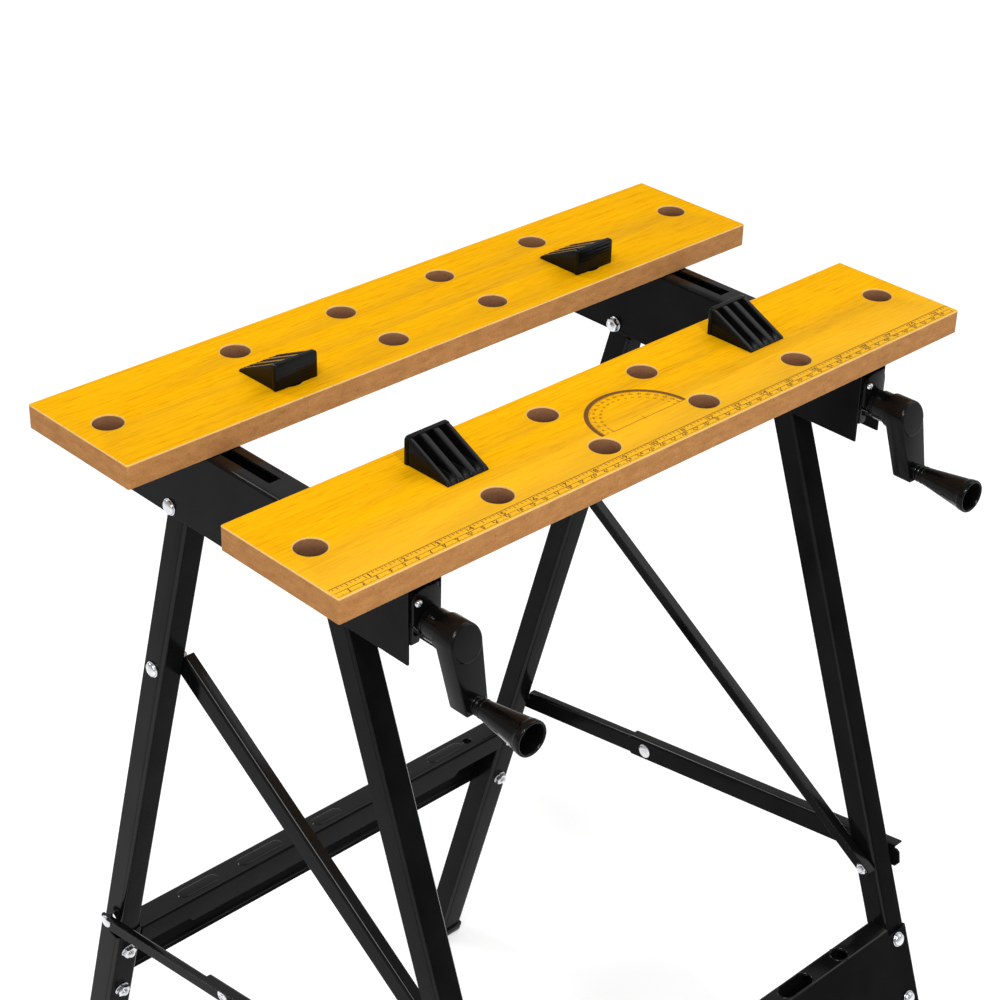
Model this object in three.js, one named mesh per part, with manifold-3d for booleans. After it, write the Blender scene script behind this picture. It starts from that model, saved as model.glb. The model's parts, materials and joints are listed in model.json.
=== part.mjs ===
// Folding clamp workbench: two wooden jaws on steel rails, crank screws, folding legs.
// Millimetres, +Z up, X along the jaws, +Y from the front jaw to the rear jaw.
// Work coordinates: Y = 0 at the front jaw's front edge, Z = 0 at the jaw tops.
import * as THREE from "three";
import { mergeVertices } from "three/addons/utils/BufferGeometryUtils.js";
import Module from "manifold-3d";

// ---------- driving dimensions ----------
const HEIGHT = 790; // jaw top above the floor
const Y_MID = 131.5; // middle of the footprint in work coordinates
const GAP = 0.3; // clearance between touching pieces

const JAW = { length: 555, depth: 105, thick: 16.7, opening: 90, hole: 10 };
const HOLE_X = [45, 135]; // pairs of holes in each row, left and right
const HOLE_ROW = [25.5, 79.5]; // rows, from the jaw's outer edge
const HOLE_END = { x: 254, y: 52.5 }; // single hole near each end

const PEG = { half: 16.4, plate: 17.2, face: 9.4, nose: 29, high: 19.3, shank: 9.2 };

const SIDE_X = 204; // middle of each leg, rail and screw
const RAIL = { half: 13, top: -17, bottom: -77, front: 12, rear: 292, sheet: 1.6 };
const SCREW = { z: -49, r: 4.5, front: -6, rear: 275 };
const NUT = { y: 247.5, half: 14, neck: 10, travel: 88.75 }; // slide block under the rear jaw
const GRIP = { z: -86, back: -34.8, front: -78.5, r0: 6, r1: 11.6 };

const LEG = { half: 10, depth: 18, sheet: 1.5 };
const SLEEVE = { front: 11.5, rear: 12, proud: 1.5, depth: 19, sheet: 1.2 };
const TREAD = { z: -460.5, back: -52.3, lip: 26, high: 95, half: 191.8, web: 210.5, bolt: 200.4, hole: 6.5, mid: -60.9 };
const FRONT = { y: 62.6, slope: -0.355 }; // front leg's front face at Z = -100
const REAR = { y: 234.3, slope: 0.279 }; // rear leg's front face at Z = -100

const PIVOT = {
  a: { d: 5.5, z: -63 }, // front leg in the rail
  b: { d: 13.5, z: -71 }, // rear leg in the rail
  c: { d: 9, z: -216 }, // brace on the rear leg
  e: { d: 9, z: -417 }, // brace and stay on the front leg
  g: { d: 9, z: -482 }, // stay on the rear leg
};
const STAY_SPLIT = 0.628; // middle pivot of the stay, from the front leg
const BOLT = 3; // shank radius of the pivot bolts

// ---------- materials ----------
const mat = (color, roughness, metalness) =>
  new THREE.MeshStandardMaterial({ color, roughness, metalness });
const WOOD = mat(0xe2a614, 0.45, 0);
const PAINT = mat(0x17181a, 0.25, 0.2);
const ZINC = mat(0xb9bdc2, 0.3, 1);
const PLASTIC = mat(0x111213, 0.4, 0);

// ---------- solids ----------
const wasm = await Module();
wasm.setup();

function solid(geometry) {
  const g = geometry.index ? geometry.toNonIndexed() : geometry.clone();
  g.deleteAttribute("normal");
  g.deleteAttribute("uv");
  const m = mergeVertices(g, 1e-4);
  const make = (triVerts) =>
    new wasm.Manifold(new wasm.Mesh({ numProp: 3, vertProperties: m.attributes.position.array, triVerts }));
  const body = make(new Uint32Array(m.index.array));
  if (body.volume() >= 0) return body;
  return make(new Uint32Array(m.index.array).reverse());
}

function extrude(points, depth, matrix, holes = []) {
  const shape = new THREE.Shape(points.map((p) => new THREE.Vector2(p[0], p[1])));
  for (const h of holes)
    shape.holes.push(new THREE.Path(h.map((p) => new THREE.Vector2(p[0], p[1]))));
  const g = new THREE.ExtrudeGeometry(shape, { depth, steps: 1, bevelEnabled: false });
  return solid(g.applyMatrix4(matrix));
}
// Outline in (y, z), from x0 to x1.
const prismX = (pts, x0, x1, holes) =>
  extrude(pts, x1 - x0, new THREE.Matrix4().set(0, 0, 1, x0, 1, 0, 0, 0, 0, 1, 0, 0, 0, 0, 0, 1), holes);
// Outline in (x, z), from y0 to y1.
const prismY = (pts, y0, y1, holes) =>
  extrude(pts, y1 - y0, new THREE.Matrix4().set(1, 0, 0, 0, 0, 0, -1, y1, 0, 1, 0, 0, 0, 0, 0, 1), holes);
// Outline in (x, y), from z0 to z1.
const prismZ = (pts, z0, z1, holes) =>
  extrude(pts, z1 - z0, new THREE.Matrix4().makeTranslation(0, 0, z0), holes);

const box = (x0, x1, y0, y1, z0, z1) =>
  solid(new THREE.BoxGeometry(x1 - x0, y1 - y0, z1 - z0).translate((x0 + x1) / 2, (y0 + y1) / 2, (z0 + z1) / 2));

function circle(cx, cy, r, n) {
  const out = [];
  for (let i = 0; i < n; i++) {
    const a = (2 * Math.PI * (i + 0.5)) / n;
    out.push([cx + r * Math.cos(a), cy + r * Math.sin(a)]);
  }
  return out;
}

// Rings of equal length joined in order, with flat ends.
function loft(rings) {
  const n = rings[0].length;
  const pos = rings.flat().flat();
  const idx = [];
  for (let k = 0; k + 1 < rings.length; k++)
    for (let j = 0; j < n; j++) {
      const a = k * n + j;
      const b = k * n + ((j + 1) % n);
      idx.push(a, b, b + n, a, b + n, a + n);
    }
  const last = (rings.length - 1) * n;
  for (let j = 1; j + 1 < n; j++) {
    idx.push(0, j + 1, j);
    idx.push(last, last + j, last + j + 1);
  }
  const g = new THREE.BufferGeometry();
  g.setAttribute("position", new THREE.Float32BufferAttribute(pos, 3));
  g.setIndex(idx);
  return solid(g);
}

// Turned piece: profile of [along, radius] from start along dir.
function turned(start, dir, profile, n) {
  const pts = profile.map(([t, r]) => new THREE.Vector2(r, t));
  pts.unshift(new THREE.Vector2(0, profile[0][0]));
  pts.push(new THREE.Vector2(0, profile.at(-1)[0]));
  const g = new THREE.LatheGeometry(pts, n, Math.PI / n);
  const q = new THREE.Quaternion().setFromUnitVectors(
    new THREE.Vector3(0, 1, 0), new THREE.Vector3(...dir).normalize());
  g.applyMatrix4(new THREE.Matrix4().compose(new THREE.Vector3(...start), q, new THREE.Vector3(1, 1, 1)));
  return solid(g);
}
const rodX = (y, z, r, x0, x1, n = 8) => turned([x0, y, z], [1, 0, 0], [[0, r], [x1 - x0, r]], n);
const rodY = (x, z, r, y0, y1, n = 16) => turned([x, y0, z], [0, 1, 0], [[0, r], [y1 - y0, r]], n);

// One group for each set of pieces that moves together, all inside the bench's work frame.
const root = new THREE.Group();
root.name = "folding_workbench";
const bench = new THREE.Group();
bench.position.set(0, -Y_MID, HEIGHT);
root.add(bench);
const sets = {};
function piece(set, name, body, material) {
  const m = body.getMesh();
  const g = new THREE.BufferGeometry();
  g.setAttribute("position", new THREE.BufferAttribute(new Float32Array(m.vertProperties), 3));
  g.setIndex(new THREE.BufferAttribute(new Uint32Array(m.triVerts), 1));
  const flat = g.toNonIndexed();
  flat.computeVertexNormals();
  const mesh = new THREE.Mesh(flat, material);
  mesh.name = name;
  if (!sets[set]) {
    sets[set] = new THREE.Group();
    sets[set].name = set + "_set";
    bench.add(sets[set]);
  }
  sets[set].add(mesh);
}

// ---------- leg frames ----------
// Each leg runs down along e, d is measured from its front face along n.
function legFrame({ y, slope }) {
  const k = Math.hypot(slope, 1);
  const e = [slope / k, -1 / k];
  const n = [1 / k, slope / k];
  return {
    e,
    n,
    at: (s, d) => [y + s * e[0] + d * n[0], -100 + s * e[1] + d * n[1]],
    sOf: (z, d) => (z + 100 - d * n[1]) / e[1],
  };
}
const F = legFrame(FRONT);
const R = legFrame(REAR);
const spot = (L, p) => L.at(L.sOf(p.z, p.d), p.d);
const A = spot(F, PIVOT.a);
const B = spot(R, PIVOT.b);
const C = spot(R, PIVOT.c);
const E = spot(F, PIVOT.e);
const G = spot(R, PIVOT.g);
const M = [E[0] + STAY_SPLIT * (G[0] - E[0]), E[1] + STAY_SPLIT * (G[1] - E[1])];

const strip = (L, s0, s1, d0, d1, x0, x1) =>
  prismX([L.at(s0, d0), L.at(s1, d0), L.at(s1, d1), L.at(s0, d1)].reverse(), x0, x1);
// A round bar or hole along a leg's n direction.
const across = (L, x, s, profile, n = 8) => {
  const p = L.at(s, 0);
  return turned([x, p[0], p[1]], [0, L.n[0], L.n[1]], profile, n);
};

// Points of a bend from direction a0 to a1 (degrees) round (cx, cy).
function bend(cx, cy, r, a0, a1, n = 3) {
  const out = [];
  for (let i = 0; i <= n; i++) {
    const a = (Math.PI * (a0 + ((a1 - a0) * i) / n)) / 180;
    out.push([cx + r * Math.cos(a), cy + r * Math.sin(a)]);
  }
  return out;
}
// Channel section in (x, d), its web at d0 and its open side at d1.
function channelSection(half, d0, d1, t, r) {
  const h = half;
  return [
    [-h, d1], ...bend(-h + r, d0 + r, r, 180, 270), ...bend(h - r, d0 + r, r, 270, 360), [h, d1],
    [h - t, d1], ...bend(h - r, d0 + r, r - t, 360, 270), ...bend(-h + r, d0 + r, r - t, 270, 180), [-h + t, d1],
  ];
}
// A section in (x, d) drawn along a leg from s0 to s1.
function along(L, section, xc, s0, s1) {
  const o = L.at(s0, 0);
  const m = new THREE.Matrix4().set(1, 0, 0, xc, 0, L.n[0], L.e[0], o[0], 0, L.n[1], L.e[1], o[1], 0, 0, 0, 1);
  return extrude(section, s1 - s0, m);
}

const STEP_TOP = F.sOf(TREAD.z, -3.3);
const STEP_BOLTS = [STEP_TOP + 11.3, STEP_TOP + 61];
const CROSS_TOP = R.sOf(-500, 0);
const CROSS_TILT = 5; // fall of the top flange to the back, degrees
const CROSS_BOLTS = [-519, -567].map((z) => R.sOf(z, 0));
const FRONT_END = F.sOf(-774, -3.5);
const REAR_END = R.sOf(-774, 21.5);

// ---------- jaws ----------
function jaw(set, name, y0, rows, endY) {
  const l = JAW.length / 2;
  const holes = [];
  for (const sx of [-1, 1]) {
    for (const x of HOLE_X) for (const y of rows) holes.push(circle(sx * x, y, JAW.hole, 16));
    holes.push(circle(sx * HOLE_END.x, endY, JAW.hole, 16));
  }
  const outline = [[-l, y0], [l, y0], [l, y0 + JAW.depth], [-l, y0 + JAW.depth]];
  piece(set, name, prismZ(outline, -JAW.thick, 0, holes), WOOD);
}
const REAR_Y = JAW.depth + JAW.opening;
const REAR_BACK = REAR_Y + JAW.depth;
jaw("top", "front_jaw", 0, HOLE_ROW, HOLE_END.y);
jaw("rear_jaw", "rear_jaw", REAR_Y, HOLE_ROW.map((r) => REAR_BACK - r), REAR_BACK - HOLE_END.y);

// ---------- pegs ----------
// Wedge with a vertical clamping face; f is +1 when the face looks to +Y.
function peg(name, x, y, f) {
  const v = (p) => p.map(([a, z]) => [y + f * a, z]);
  const order = (p) => (f > 0 ? v(p) : v(p).reverse());
  const { half, plate, face, nose, high } = PEG;
  let body = prismX(
    order([[-nose, GAP], [face - 2.5, GAP], [face - 2.5, high - 0.5], [-nose, 1.8]]),
    x - half, x + half);
  body = body.add(prismX(order([[face - 3, GAP], [face, GAP], [face, high], [face - 3, high]]), x - plate, x + plate));
  for (const k of [-1, 0, 1])
    body = body.subtract(
      prismX(order([[-nose + 4, 3.6], [face - 9, 4.2], [face - 5, 10], [face - 5, 40], [-nose + 4, 40]]), x + k * 10.4 - 2.85, x + k * 10.4 + 2.85));
  body = body.add(turned([x, y, -15.5], [0, 0, 1], [[0, PEG.shank - 0.8], [1.2, PEG.shank], [15.5 + 1.5, PEG.shank]], 16));
  piece(name, name, body, PLASTIC);
}
peg("peg_front_left", -HOLE_X[1], HOLE_ROW[1], 1);
peg("peg_front_right", HOLE_X[1], HOLE_ROW[1], 1);
peg("peg_rear_left", -HOLE_X[1], REAR_BACK - HOLE_ROW[1], -1);
peg("peg_rear_right", HOLE_X[1], REAR_BACK - HOLE_ROW[1], -1);

// ---------- step plate and cross rail ----------
function stepPlate() {
  const s0 = STEP_TOP;
  const s1 = s0 + TREAD.high;
  const t = 1.5;
  const r = 1.9;
  const zt = TREAD.z;
  const yb = TREAD.back;
  // Section in (y, z): sloping front web, level tread, turned-down rear edge, small return at the foot.
  const top = F.at(F.sOf(zt - r, -3.3 + r), -3.3 + r);
  const lean = (Math.atan2(-F.n[1], -F.n[0]) * 180) / Math.PI;
  const onLeg = (pts) => pts.map(([d, q]) => F.at(q, d));
  const outer = [F.at(s1, 8), ...onLeg(bend(-3.3 + r, s1 - r, r, 90, 180)), ...bend(top[0], top[1], r, lean, 90), ...bend(yb - r, zt - r, r, 90, 0), [yb, zt - TREAD.lip]];
  const inner = [[yb - t, zt - TREAD.lip], ...bend(yb - r, zt - r, r - t, 0, 90), ...bend(top[0], top[1], r - t, 90, lean), ...onLeg(bend(-3.3 + r, s1 - r, r - t, 180, 90)), F.at(s1 - t, 8)];
  let p = prismX([...outer, ...inner], -TREAD.half, TREAD.half);
  p = p.add(strip(F, s0 + 5, s1 - 3, -3.3, -1.8, -TREAD.web, TREAD.web));
  for (const x of [-TREAD.bolt, TREAD.bolt])
    for (const s of STEP_BOLTS) p = p.subtract(across(F, x, s, [[-10, 3.2], [5, 3.2]]));
  // Openings in the tread: a round one next to each leg, long ones between.
  for (const [x, half] of [[-144, 0], [144, 0], [-94, 9.5], [94, 9.5], [-36, 9.5], [36, 9.5]]) {
    const ring = circle(x, TREAD.mid, TREAD.hole, 16).map(([px, y]) => [px + (px > x ? half : -half), y]);
    p = p.subtract(prismZ(ring, zt - 4, zt + 4));
  }
  piece("front_frame", "step_plate", p, PAINT);
}
stepPlate();

function crossRail() {
  const s0 = CROSS_TOP;
  const t = 1.5;
  const r = 2.4;
  const s1 = s0 + 90;
  const lip = s0 + 29.5;
  // Section in (y, z): sloping rear web, nearly level top flange, sloping front lip.
  const edge = R.at(s0, -1.5); // where the lip meets the flange
  const up = (Math.PI * (90 - CROSS_TILT)) / 180;
  const nrm = [Math.cos(up), Math.sin(up)];
  // Middle of a bend r under the flange, on the leg's line at depth d.
  const under = (d) => {
    const o = R.at(0, d);
    const h = (o[0] - edge[0]) * nrm[0] + (o[1] - edge[1]) * nrm[1];
    return R.at((-r - h) / (R.e[0] * nrm[0] + R.e[1] * nrm[1]), d);
  };
  const lean = (Math.atan2(-R.n[1], -R.n[0]) * 180) / Math.PI + 360;
  const top = 90 - CROSS_TILT;
  const front = under(-1.5 + r);
  const rear = under(20.9 - r);
  const outer = [R.at(s1, 20.9), ...bend(rear[0], rear[1], r, lean - 180, top), ...bend(front[0], front[1], r, top, lean), R.at(lip, -1.5)];
  const inner = [R.at(lip, -1.5 + t), ...bend(front[0], front[1], r - t, lean, top), ...bend(rear[0], rear[1], r - t, top, lean - 180), R.at(s1, 20.9 - t)];
  let p = prismX([...outer, ...inner], -191.8, 191.8);
  p = p.add(strip(R, s0 + 14, s1, 19.4, 20.9, -214, 214));
  // The lip is lower towards its ends.
  for (const sx of [-1, 1]) {
    const pts = [[sx * 195, s0 + 24], [sx * 195, s0 + 40], [sx * 140, s0 + 40], [sx * 140, s0 + 29.4], [sx * 143.5, s0 + 24]];
    const at = (d) => pts.map(([px, q]) => [px, ...R.at(q, d)]);
    p = p.subtract(loft([at(-4), at(4)]));
  }
  for (const x of [-SIDE_X, SIDE_X])
    for (const s of CROSS_BOLTS) p = p.subtract(across(R, x, s, [[15, 3.2], [30, 3.2]]));
  const mid = [edge[0] + 11.6 * nrm[1], edge[1] - 11.6 * nrm[0]];
  p = p.subtract(turned([157, mid[0] - 4 * nrm[0], mid[1] - 4 * nrm[1]], [0, nrm[0], nrm[1]], [[0, 3.8], [8, 3.8]], 12));
  piece("rear_frame", "rear_cross_rail", p, PAINT);
}
crossRail();

// ---------- the two sides ----------
for (const [side, sx] of [["left", -1], ["right", 1]]) {
  const xc = sx * SIDE_X;
  // Outline points at |X| distances on this side, as an ascending pair.
  const span = (a, b) => [sx * a, sx * b].sort((p, q) => p - q);

  // Front leg: folded channel, open at the back, ears round the upper pivot.
  {
    const sA = F.sOf(PIVOT.a.z, PIVOT.a.d);
    const s1 = F.sOf(-552, 9);
    const pts = [];
    for (let i = 0; i <= 5; i++) {
      const a = (Math.PI * (180 - 30 * i)) / 180;
      pts.push([sA - 5.5 * Math.sin(a), PIVOT.a.d + 5.5 * Math.cos(a)]);
    }
    pts.push([sA + 8, LEG.depth], [s1, LEG.depth], [s1, 0]);
    let leg = along(F, channelSection(LEG.half, 0, LEG.depth, LEG.sheet, 3), xc, sA - 10, s1);
    leg = leg.intersect(prismX(pts.map(([s, d]) => F.at(s, d)).reverse(), xc - 20, xc + 20));
    leg = leg.subtract(rodX(A[0], A[1], BOLT + 0.3, xc - 20, xc + 20));
    leg = leg.subtract(rodX(E[0], E[1], BOLT + 0.3, xc - 20, xc + 20));
    for (const s of STEP_BOLTS) leg = leg.subtract(across(F, sx * TREAD.bolt, s, [[-5, 3.2], [5, 3.2]]));
    piece("front_frame", "front_leg_" + side, leg, PAINT);
  }
  // Rear leg.
  {
    const sB = R.sOf(PIVOT.b.z, PIVOT.b.d);
    const s1 = R.sOf(-590, 9);
    const pts = [];
    for (let i = 0; i <= 5; i++) {
      const a = (Math.PI * (150 - 30 * i)) / 180;
      pts.push([sB - 4.5 * Math.sin(a), PIVOT.b.d + 4.5 * Math.cos(a)]);
    }
    const outline = [[s1, 0], [sB + 8, 0], ...pts, [s1, LEG.depth]];
    let leg = along(R, channelSection(LEG.half, 0, LEG.depth, LEG.sheet, 3), xc, sB - 10, s1);
    leg = leg.intersect(prismX(outline.map(([s, d]) => R.at(s, d)).reverse(), xc - 20, xc + 20));
    for (const p of [B, C, G]) leg = leg.subtract(rodX(p[0], p[1], BOLT + 0.3, xc - 20, xc + 20));
    for (const s of CROSS_BOLTS) leg = leg.subtract(across(R, xc, s, [[-5, 3.2], [5, 3.2]]));
    piece("rear_frame", "rear_leg_" + side, leg, PAINT);
  }
  // Lower legs: wider channels round the ends of the upper ones.
  const lower = (set, name, L, half, s0, s1, bolts, bx) => {
    let leg = along(L, channelSection(half, -SLEEVE.proud, SLEEVE.depth, SLEEVE.sheet, 3.4), xc, s0, s1);
    for (const s of bolts) leg = leg.subtract(across(L, bx, s, [[-8, 3.2], [5, 3.2]]));
    piece(set, name, leg, PAINT);
  };
  lower("front_frame", "front_lower_leg_" + side, F, SLEEVE.front, STEP_TOP + 6, FRONT_END, STEP_BOLTS, sx * TREAD.bolt);
  lower("rear_frame", "rear_lower_leg_" + side, R, SLEEVE.rear, R.sOf(-494, 19), REAR_END, CROSS_BOLTS, xc);
  // Feet: caps with a plug in the leg's end and a level sole.
  const foot = (set, name, L, s1) => {
    const edge = (d) => L.at(L.sOf(-HEIGHT, d), d);
    let f = prismX([L.at(s1 + GAP, -3.5), edge(-3.5), edge(21.5), L.at(s1 + GAP, 21.5)], xc - 13.5, xc + 13.5);
    f = f.add(strip(L, s1 - 16, s1 + 2, 0.4, 16, xc - 9.6, xc + 9.6));
    piece(set, name, f, PLASTIC);
  };
  foot("front_frame", "front_foot_" + side, F, FRONT_END);
  foot("rear_frame", "rear_foot_" + side, R, REAR_END);
  // Bolts of the step plate: head in front, nut inside the leg.
  STEP_BOLTS.forEach((s, i) =>
    piece("front_frame", "step_bolt_" + side + (i ? "_lower" : "_upper"),
      across(F, sx * TREAD.bolt, s, [[-7, 4.6], [-6.2, 5.6], [-3.6, 5.6], [-3.6, 2.9], [3, 2.9], [3, 4.5], [7, 4.5], [7, 2.9], [9.5, 2.9]]), ZINC));
  // Bolts of the cross rail: head behind, nut on the leg's front.
  CROSS_BOLTS.forEach((s, i) =>
    piece("rear_frame", "cross_rail_bolt_" + side + (i ? "_lower" : "_upper"),
      across(R, xc, s, [[-8.5, 2.9], [-6, 2.9], [-6, 5.2], [-1.8, 5.2], [-1.8, 2.9], [21.2, 2.9], [21.2, 5.6], [24, 5.6], [24.6, 4.6]]), ZINC));

  // Rail: inverted channel with a slot in its top.
  {
    const h = RAIL.half;
    const t = RAIL.sheet;
    const r = 3.2;
    const section = [[h, RAIL.bottom], ...bend(h - r, RAIL.top - r, r, 0, 90), ...bend(-h + r, RAIL.top - r, r, 90, 180), [-h, RAIL.bottom],
      [-h + t, RAIL.bottom], ...bend(-h + r, RAIL.top - r, r - t, 180, 90), ...bend(h - r, RAIL.top - r, r - t, 90, 0), [h - t, RAIL.bottom]];
    let rail = prismY(section.map(([x, z]) => [xc + x, z]), RAIL.front, RAIL.rear);
    rail = rail.subtract(
      box(xc - 4.5, xc + 4.5, NUT.y - NUT.neck - NUT.travel - 1.5, NUT.y + NUT.neck + 1.5, -30, 0));
    for (const p of [A, B]) rail = rail.subtract(rodX(p[0], p[1], BOLT + 0.3, xc - 30, xc + 30));
    piece("top", "rail_" + side, rail, PAINT);
  }
  // Slide block with the screw's thread, under the rear jaw.
  {
    let nut = prismY([[10.9, -57], [10.9, -21], [8.9, -19], [-8.9, -19], [-10.9, -21], [-10.9, -57]].map(([x, z]) => [xc + x, z]),
      NUT.y - NUT.half, NUT.y + NUT.half);
    nut = nut.add(box(xc - 4, xc + 4, NUT.y - NUT.neck, NUT.y + NUT.neck, -19.5, -JAW.thick - GAP));
    nut = nut.subtract(rodY(xc, SCREW.z, SCREW.r + 0.3, NUT.y - 20, NUT.y + 20));
    piece("rear_jaw", "slide_block_" + side, nut, PLASTIC);
  }
  // Bush at the rail's front end: plate and block above, boss round the screw, two side arms with lugs below.
  {
    const plate = [[9.3, -50], ...bend(9.3 - 7, -33, 7, 0, 90), ...bend(-11.3 + 7, -33, 7, 90, 180), [-11.3, -50]];
    let bush = prismY(plate.map(([x, z]) => [xc + x, z]), 8.6, 11.7);
    bush = bush.add(rodY(xc, SCREW.z, 8.4, 8.6, 28));
    bush = bush.add(box(xc - 10.9, xc + 10.9, 11.5, 28, -46, -28));
    for (const k of [-1, 1]) {
      const pair = (p, q) => [xc + k * p, xc + k * q].sort((m, n) => m - n);
      bush = bush.add(box(...pair(8.7, 10.9), 11.5, 20, -64, -40));
      bush = bush.add(box(...pair(3.6, 10.9), 11.5, 17, -64, -57.8));
    }
    bush = bush.subtract(rodY(xc, SCREW.z, SCREW.r + 0.4, 0, 40));
    bush = bush.subtract(rodY(xc - 8.3, -34, 1.6, 0, 24, 10));
    piece("top", "bush_" + side, bush, PLASTIC);
    piece("top", "bush_screw_" + side,
      turned([xc - 8.3, 6.4, -34], [0, 1, 0], [[0, 1.7], [0.7, 2.4], [1.9, 2.4], [1.9, 1.3], [14, 1.3]], 12), ZINC);
  }
  // Clamp screw with its collar behind the bush.
  piece("crank_" + side, "clamp_screw_" + side,
    turned([xc, SCREW.front, SCREW.z], [0, 1, 0],
      [[0, SCREW.r], [34.4, SCREW.r], [34.4, 7.5], [40, 7.5], [40, SCREW.r], [SCREW.rear - SCREW.front - 1.5, SCREW.r], [SCREW.rear - SCREW.front, SCREW.r - 1.5]], 16), ZINC);
  // Crank: stepped hub, leaning arm, stub for the grip.
  {
    const z0 = SCREW.z;
    const back = (z) => -10.5 + 0.25 * (z + 55);
    const front = (z) => -25.4 + 0.237 * (z + 55);
    const outline = [];
    for (let i = 0; i <= 8; i++) {
      const a = (Math.PI * i) / 8;
      outline.push([12 * Math.cos(a), z0 + 12 * Math.sin(a)]);
    }
    outline.push([-8.6, -89.5], [-6.6, -91.5], [6.6, -91.5], [8.6, -89.5]);
    const ring = (fn, extra) => outline.map(([x, z]) => [xc + x, fn(z) + extra, z]);
    let arm = loft([ring(back, 0), ring(front, 0)]);
    arm = arm.add(turned([xc, 8.2, z0], [0, -1, 0], [[0, 9.2], [5, 9.2], [5, 10.6], [15, 10.6], [15, 12], [24, 12]], 16));
    const disc = circle(0, z0, 11.3, 16);
    arm = arm.add(loft([(z) => front(z) + 2, (z) => front(z) - 1.2].map((fn) => disc.map(([x, z]) => [xc + x, fn(z), z]))));
    arm = arm.subtract(rodY(xc, z0, SCREW.r + 0.3, SCREW.front - 0.4, 20));
    arm = arm.add(turned([xc, -24, GRIP.z], [0, -1, 0], [[0, 4], [36.4, 4], [36.4, 6], [39, 6]], 12));
    piece("crank_" + side, "crank_arm_" + side, arm, PLASTIC);
  }
  // Grip: turns on the stub, hollow at its outer end.
  {
    const len = GRIP.back - GRIP.front;
    let grip = turned([xc, GRIP.back, GRIP.z], [0, -1, 0],
      [[0, GRIP.r0], [len - 2, GRIP.r1], [len, GRIP.r1 - 0.6]], 16);
    grip = grip.subtract(turned([xc, GRIP.back + 2, GRIP.z], [0, -1, 0], [[0, 4.4], [26, 4.4], [27.2, 8.2], [len + 3, 9.6]], 12));
    piece("grip_" + side, "grip_" + side, grip, PLASTIC);
  }

  // Pivot bolts. Along X from the outside of the bench inwards.
  const boltX = (set, name, p, profile) =>
    piece(set, name, turned([sx * profile[0][0], p[0], p[1]], [-sx, 0, 0], profile.map(([x, r]) => [profile[0][0] - x, r]), 10), ZINC);
  boltX("front_frame", "front_pivot_bolt_" + side, A, [[220.6, 4.8], [219.8, 5.8], [217.4, 5.8], [217.4, BOLT], [190.6, BOLT], [190.6, 5.4], [186.8, 5.4], [186.8, BOLT], [184.8, BOLT]]);
  boltX("top", "rear_pivot_bolt_" + side, B, [[220.6, 4.8], [219.8, 5.6], [217.4, 5.6], [217.4, BOLT], [190.6, BOLT], [190.6, 5.4], [186.8, 5.4], [186.8, BOLT], [184.8, BOLT]]);
  boltX("rear_frame", "brace_bolt_" + side, C, [[217.4, 4.4], [216.6, 5.6], [214.4, 5.6], [214.4, BOLT], [191.7, BOLT], [191.7, 5.2], [188, 5.2], [188, BOLT], [186, BOLT]]);
  boltX("front_frame", "stay_bolt_" + side, E, [[221.4, 4.6], [220.6, 5.6], [218.5, 5.6], [218.5, BOLT], [216.2, BOLT], [216.2, 4.6], [214.4, 4.6], [214.4, BOLT], [194.3, BOLT]]);
  boltX("rear_stays", "stay_rear_rivet_" + side, G, [[222.8, 3.6], [222, 5.2], [220.5, 5.2], [220.5, BOLT], [218.3, BOLT], [218.3, 4.6], [216.5, 4.6]]);
  boltX("front_stays", "stay_mid_rivet_" + side, M, [[222, 3.6], [221.4, 4.8], [220.4, 4.8], [220.4, BOLT], [216.3, BOLT], [216.3, 6], [215.3, 5]]);

  // Angle bars: web in the Y-Z plane, flange on the upper edge.
  const bar = (P, Q, over, low, high, webX, flangeX, flange, holes, rounded = false) => {
    const len = Math.hypot(Q[0] - P[0], Q[1] - P[1]);
    const u = [(Q[0] - P[0]) / len, (Q[1] - P[1]) / len];
    const m = u[0] > 0 ? [-u[1], u[0]] : [u[1], -u[0]];
    const at = (t, v) => [P[0] + t * u[0] + v * m[0], P[1] + t * u[1] + v * m[1]];
    const fill = (pts, xs) => {
      const q = pts.map(([t, v]) => at(t, v));
      return prismX(u[0] > 0 ? q : q.reverse(), ...xs);
    };
    const c = 4; // corner cut of the web's ends
    const r = 2.4; // bend between web and flange
    const top = high - r;
    const start = rounded
      ? [[2, top], ...bend(0, 0, over[0], 130, 260, 6), [4, low]]
      : [[-over[0] + 2, top], [-over[0], top - 2], [-over[0], low + c], [-over[0] + c, low]];
    let b = fill([...start, [len + over[1] - c, low], [len + over[1], low + c], [len + over[1], top - 2], [len + over[1] - 2, top]], span(...webX));
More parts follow.
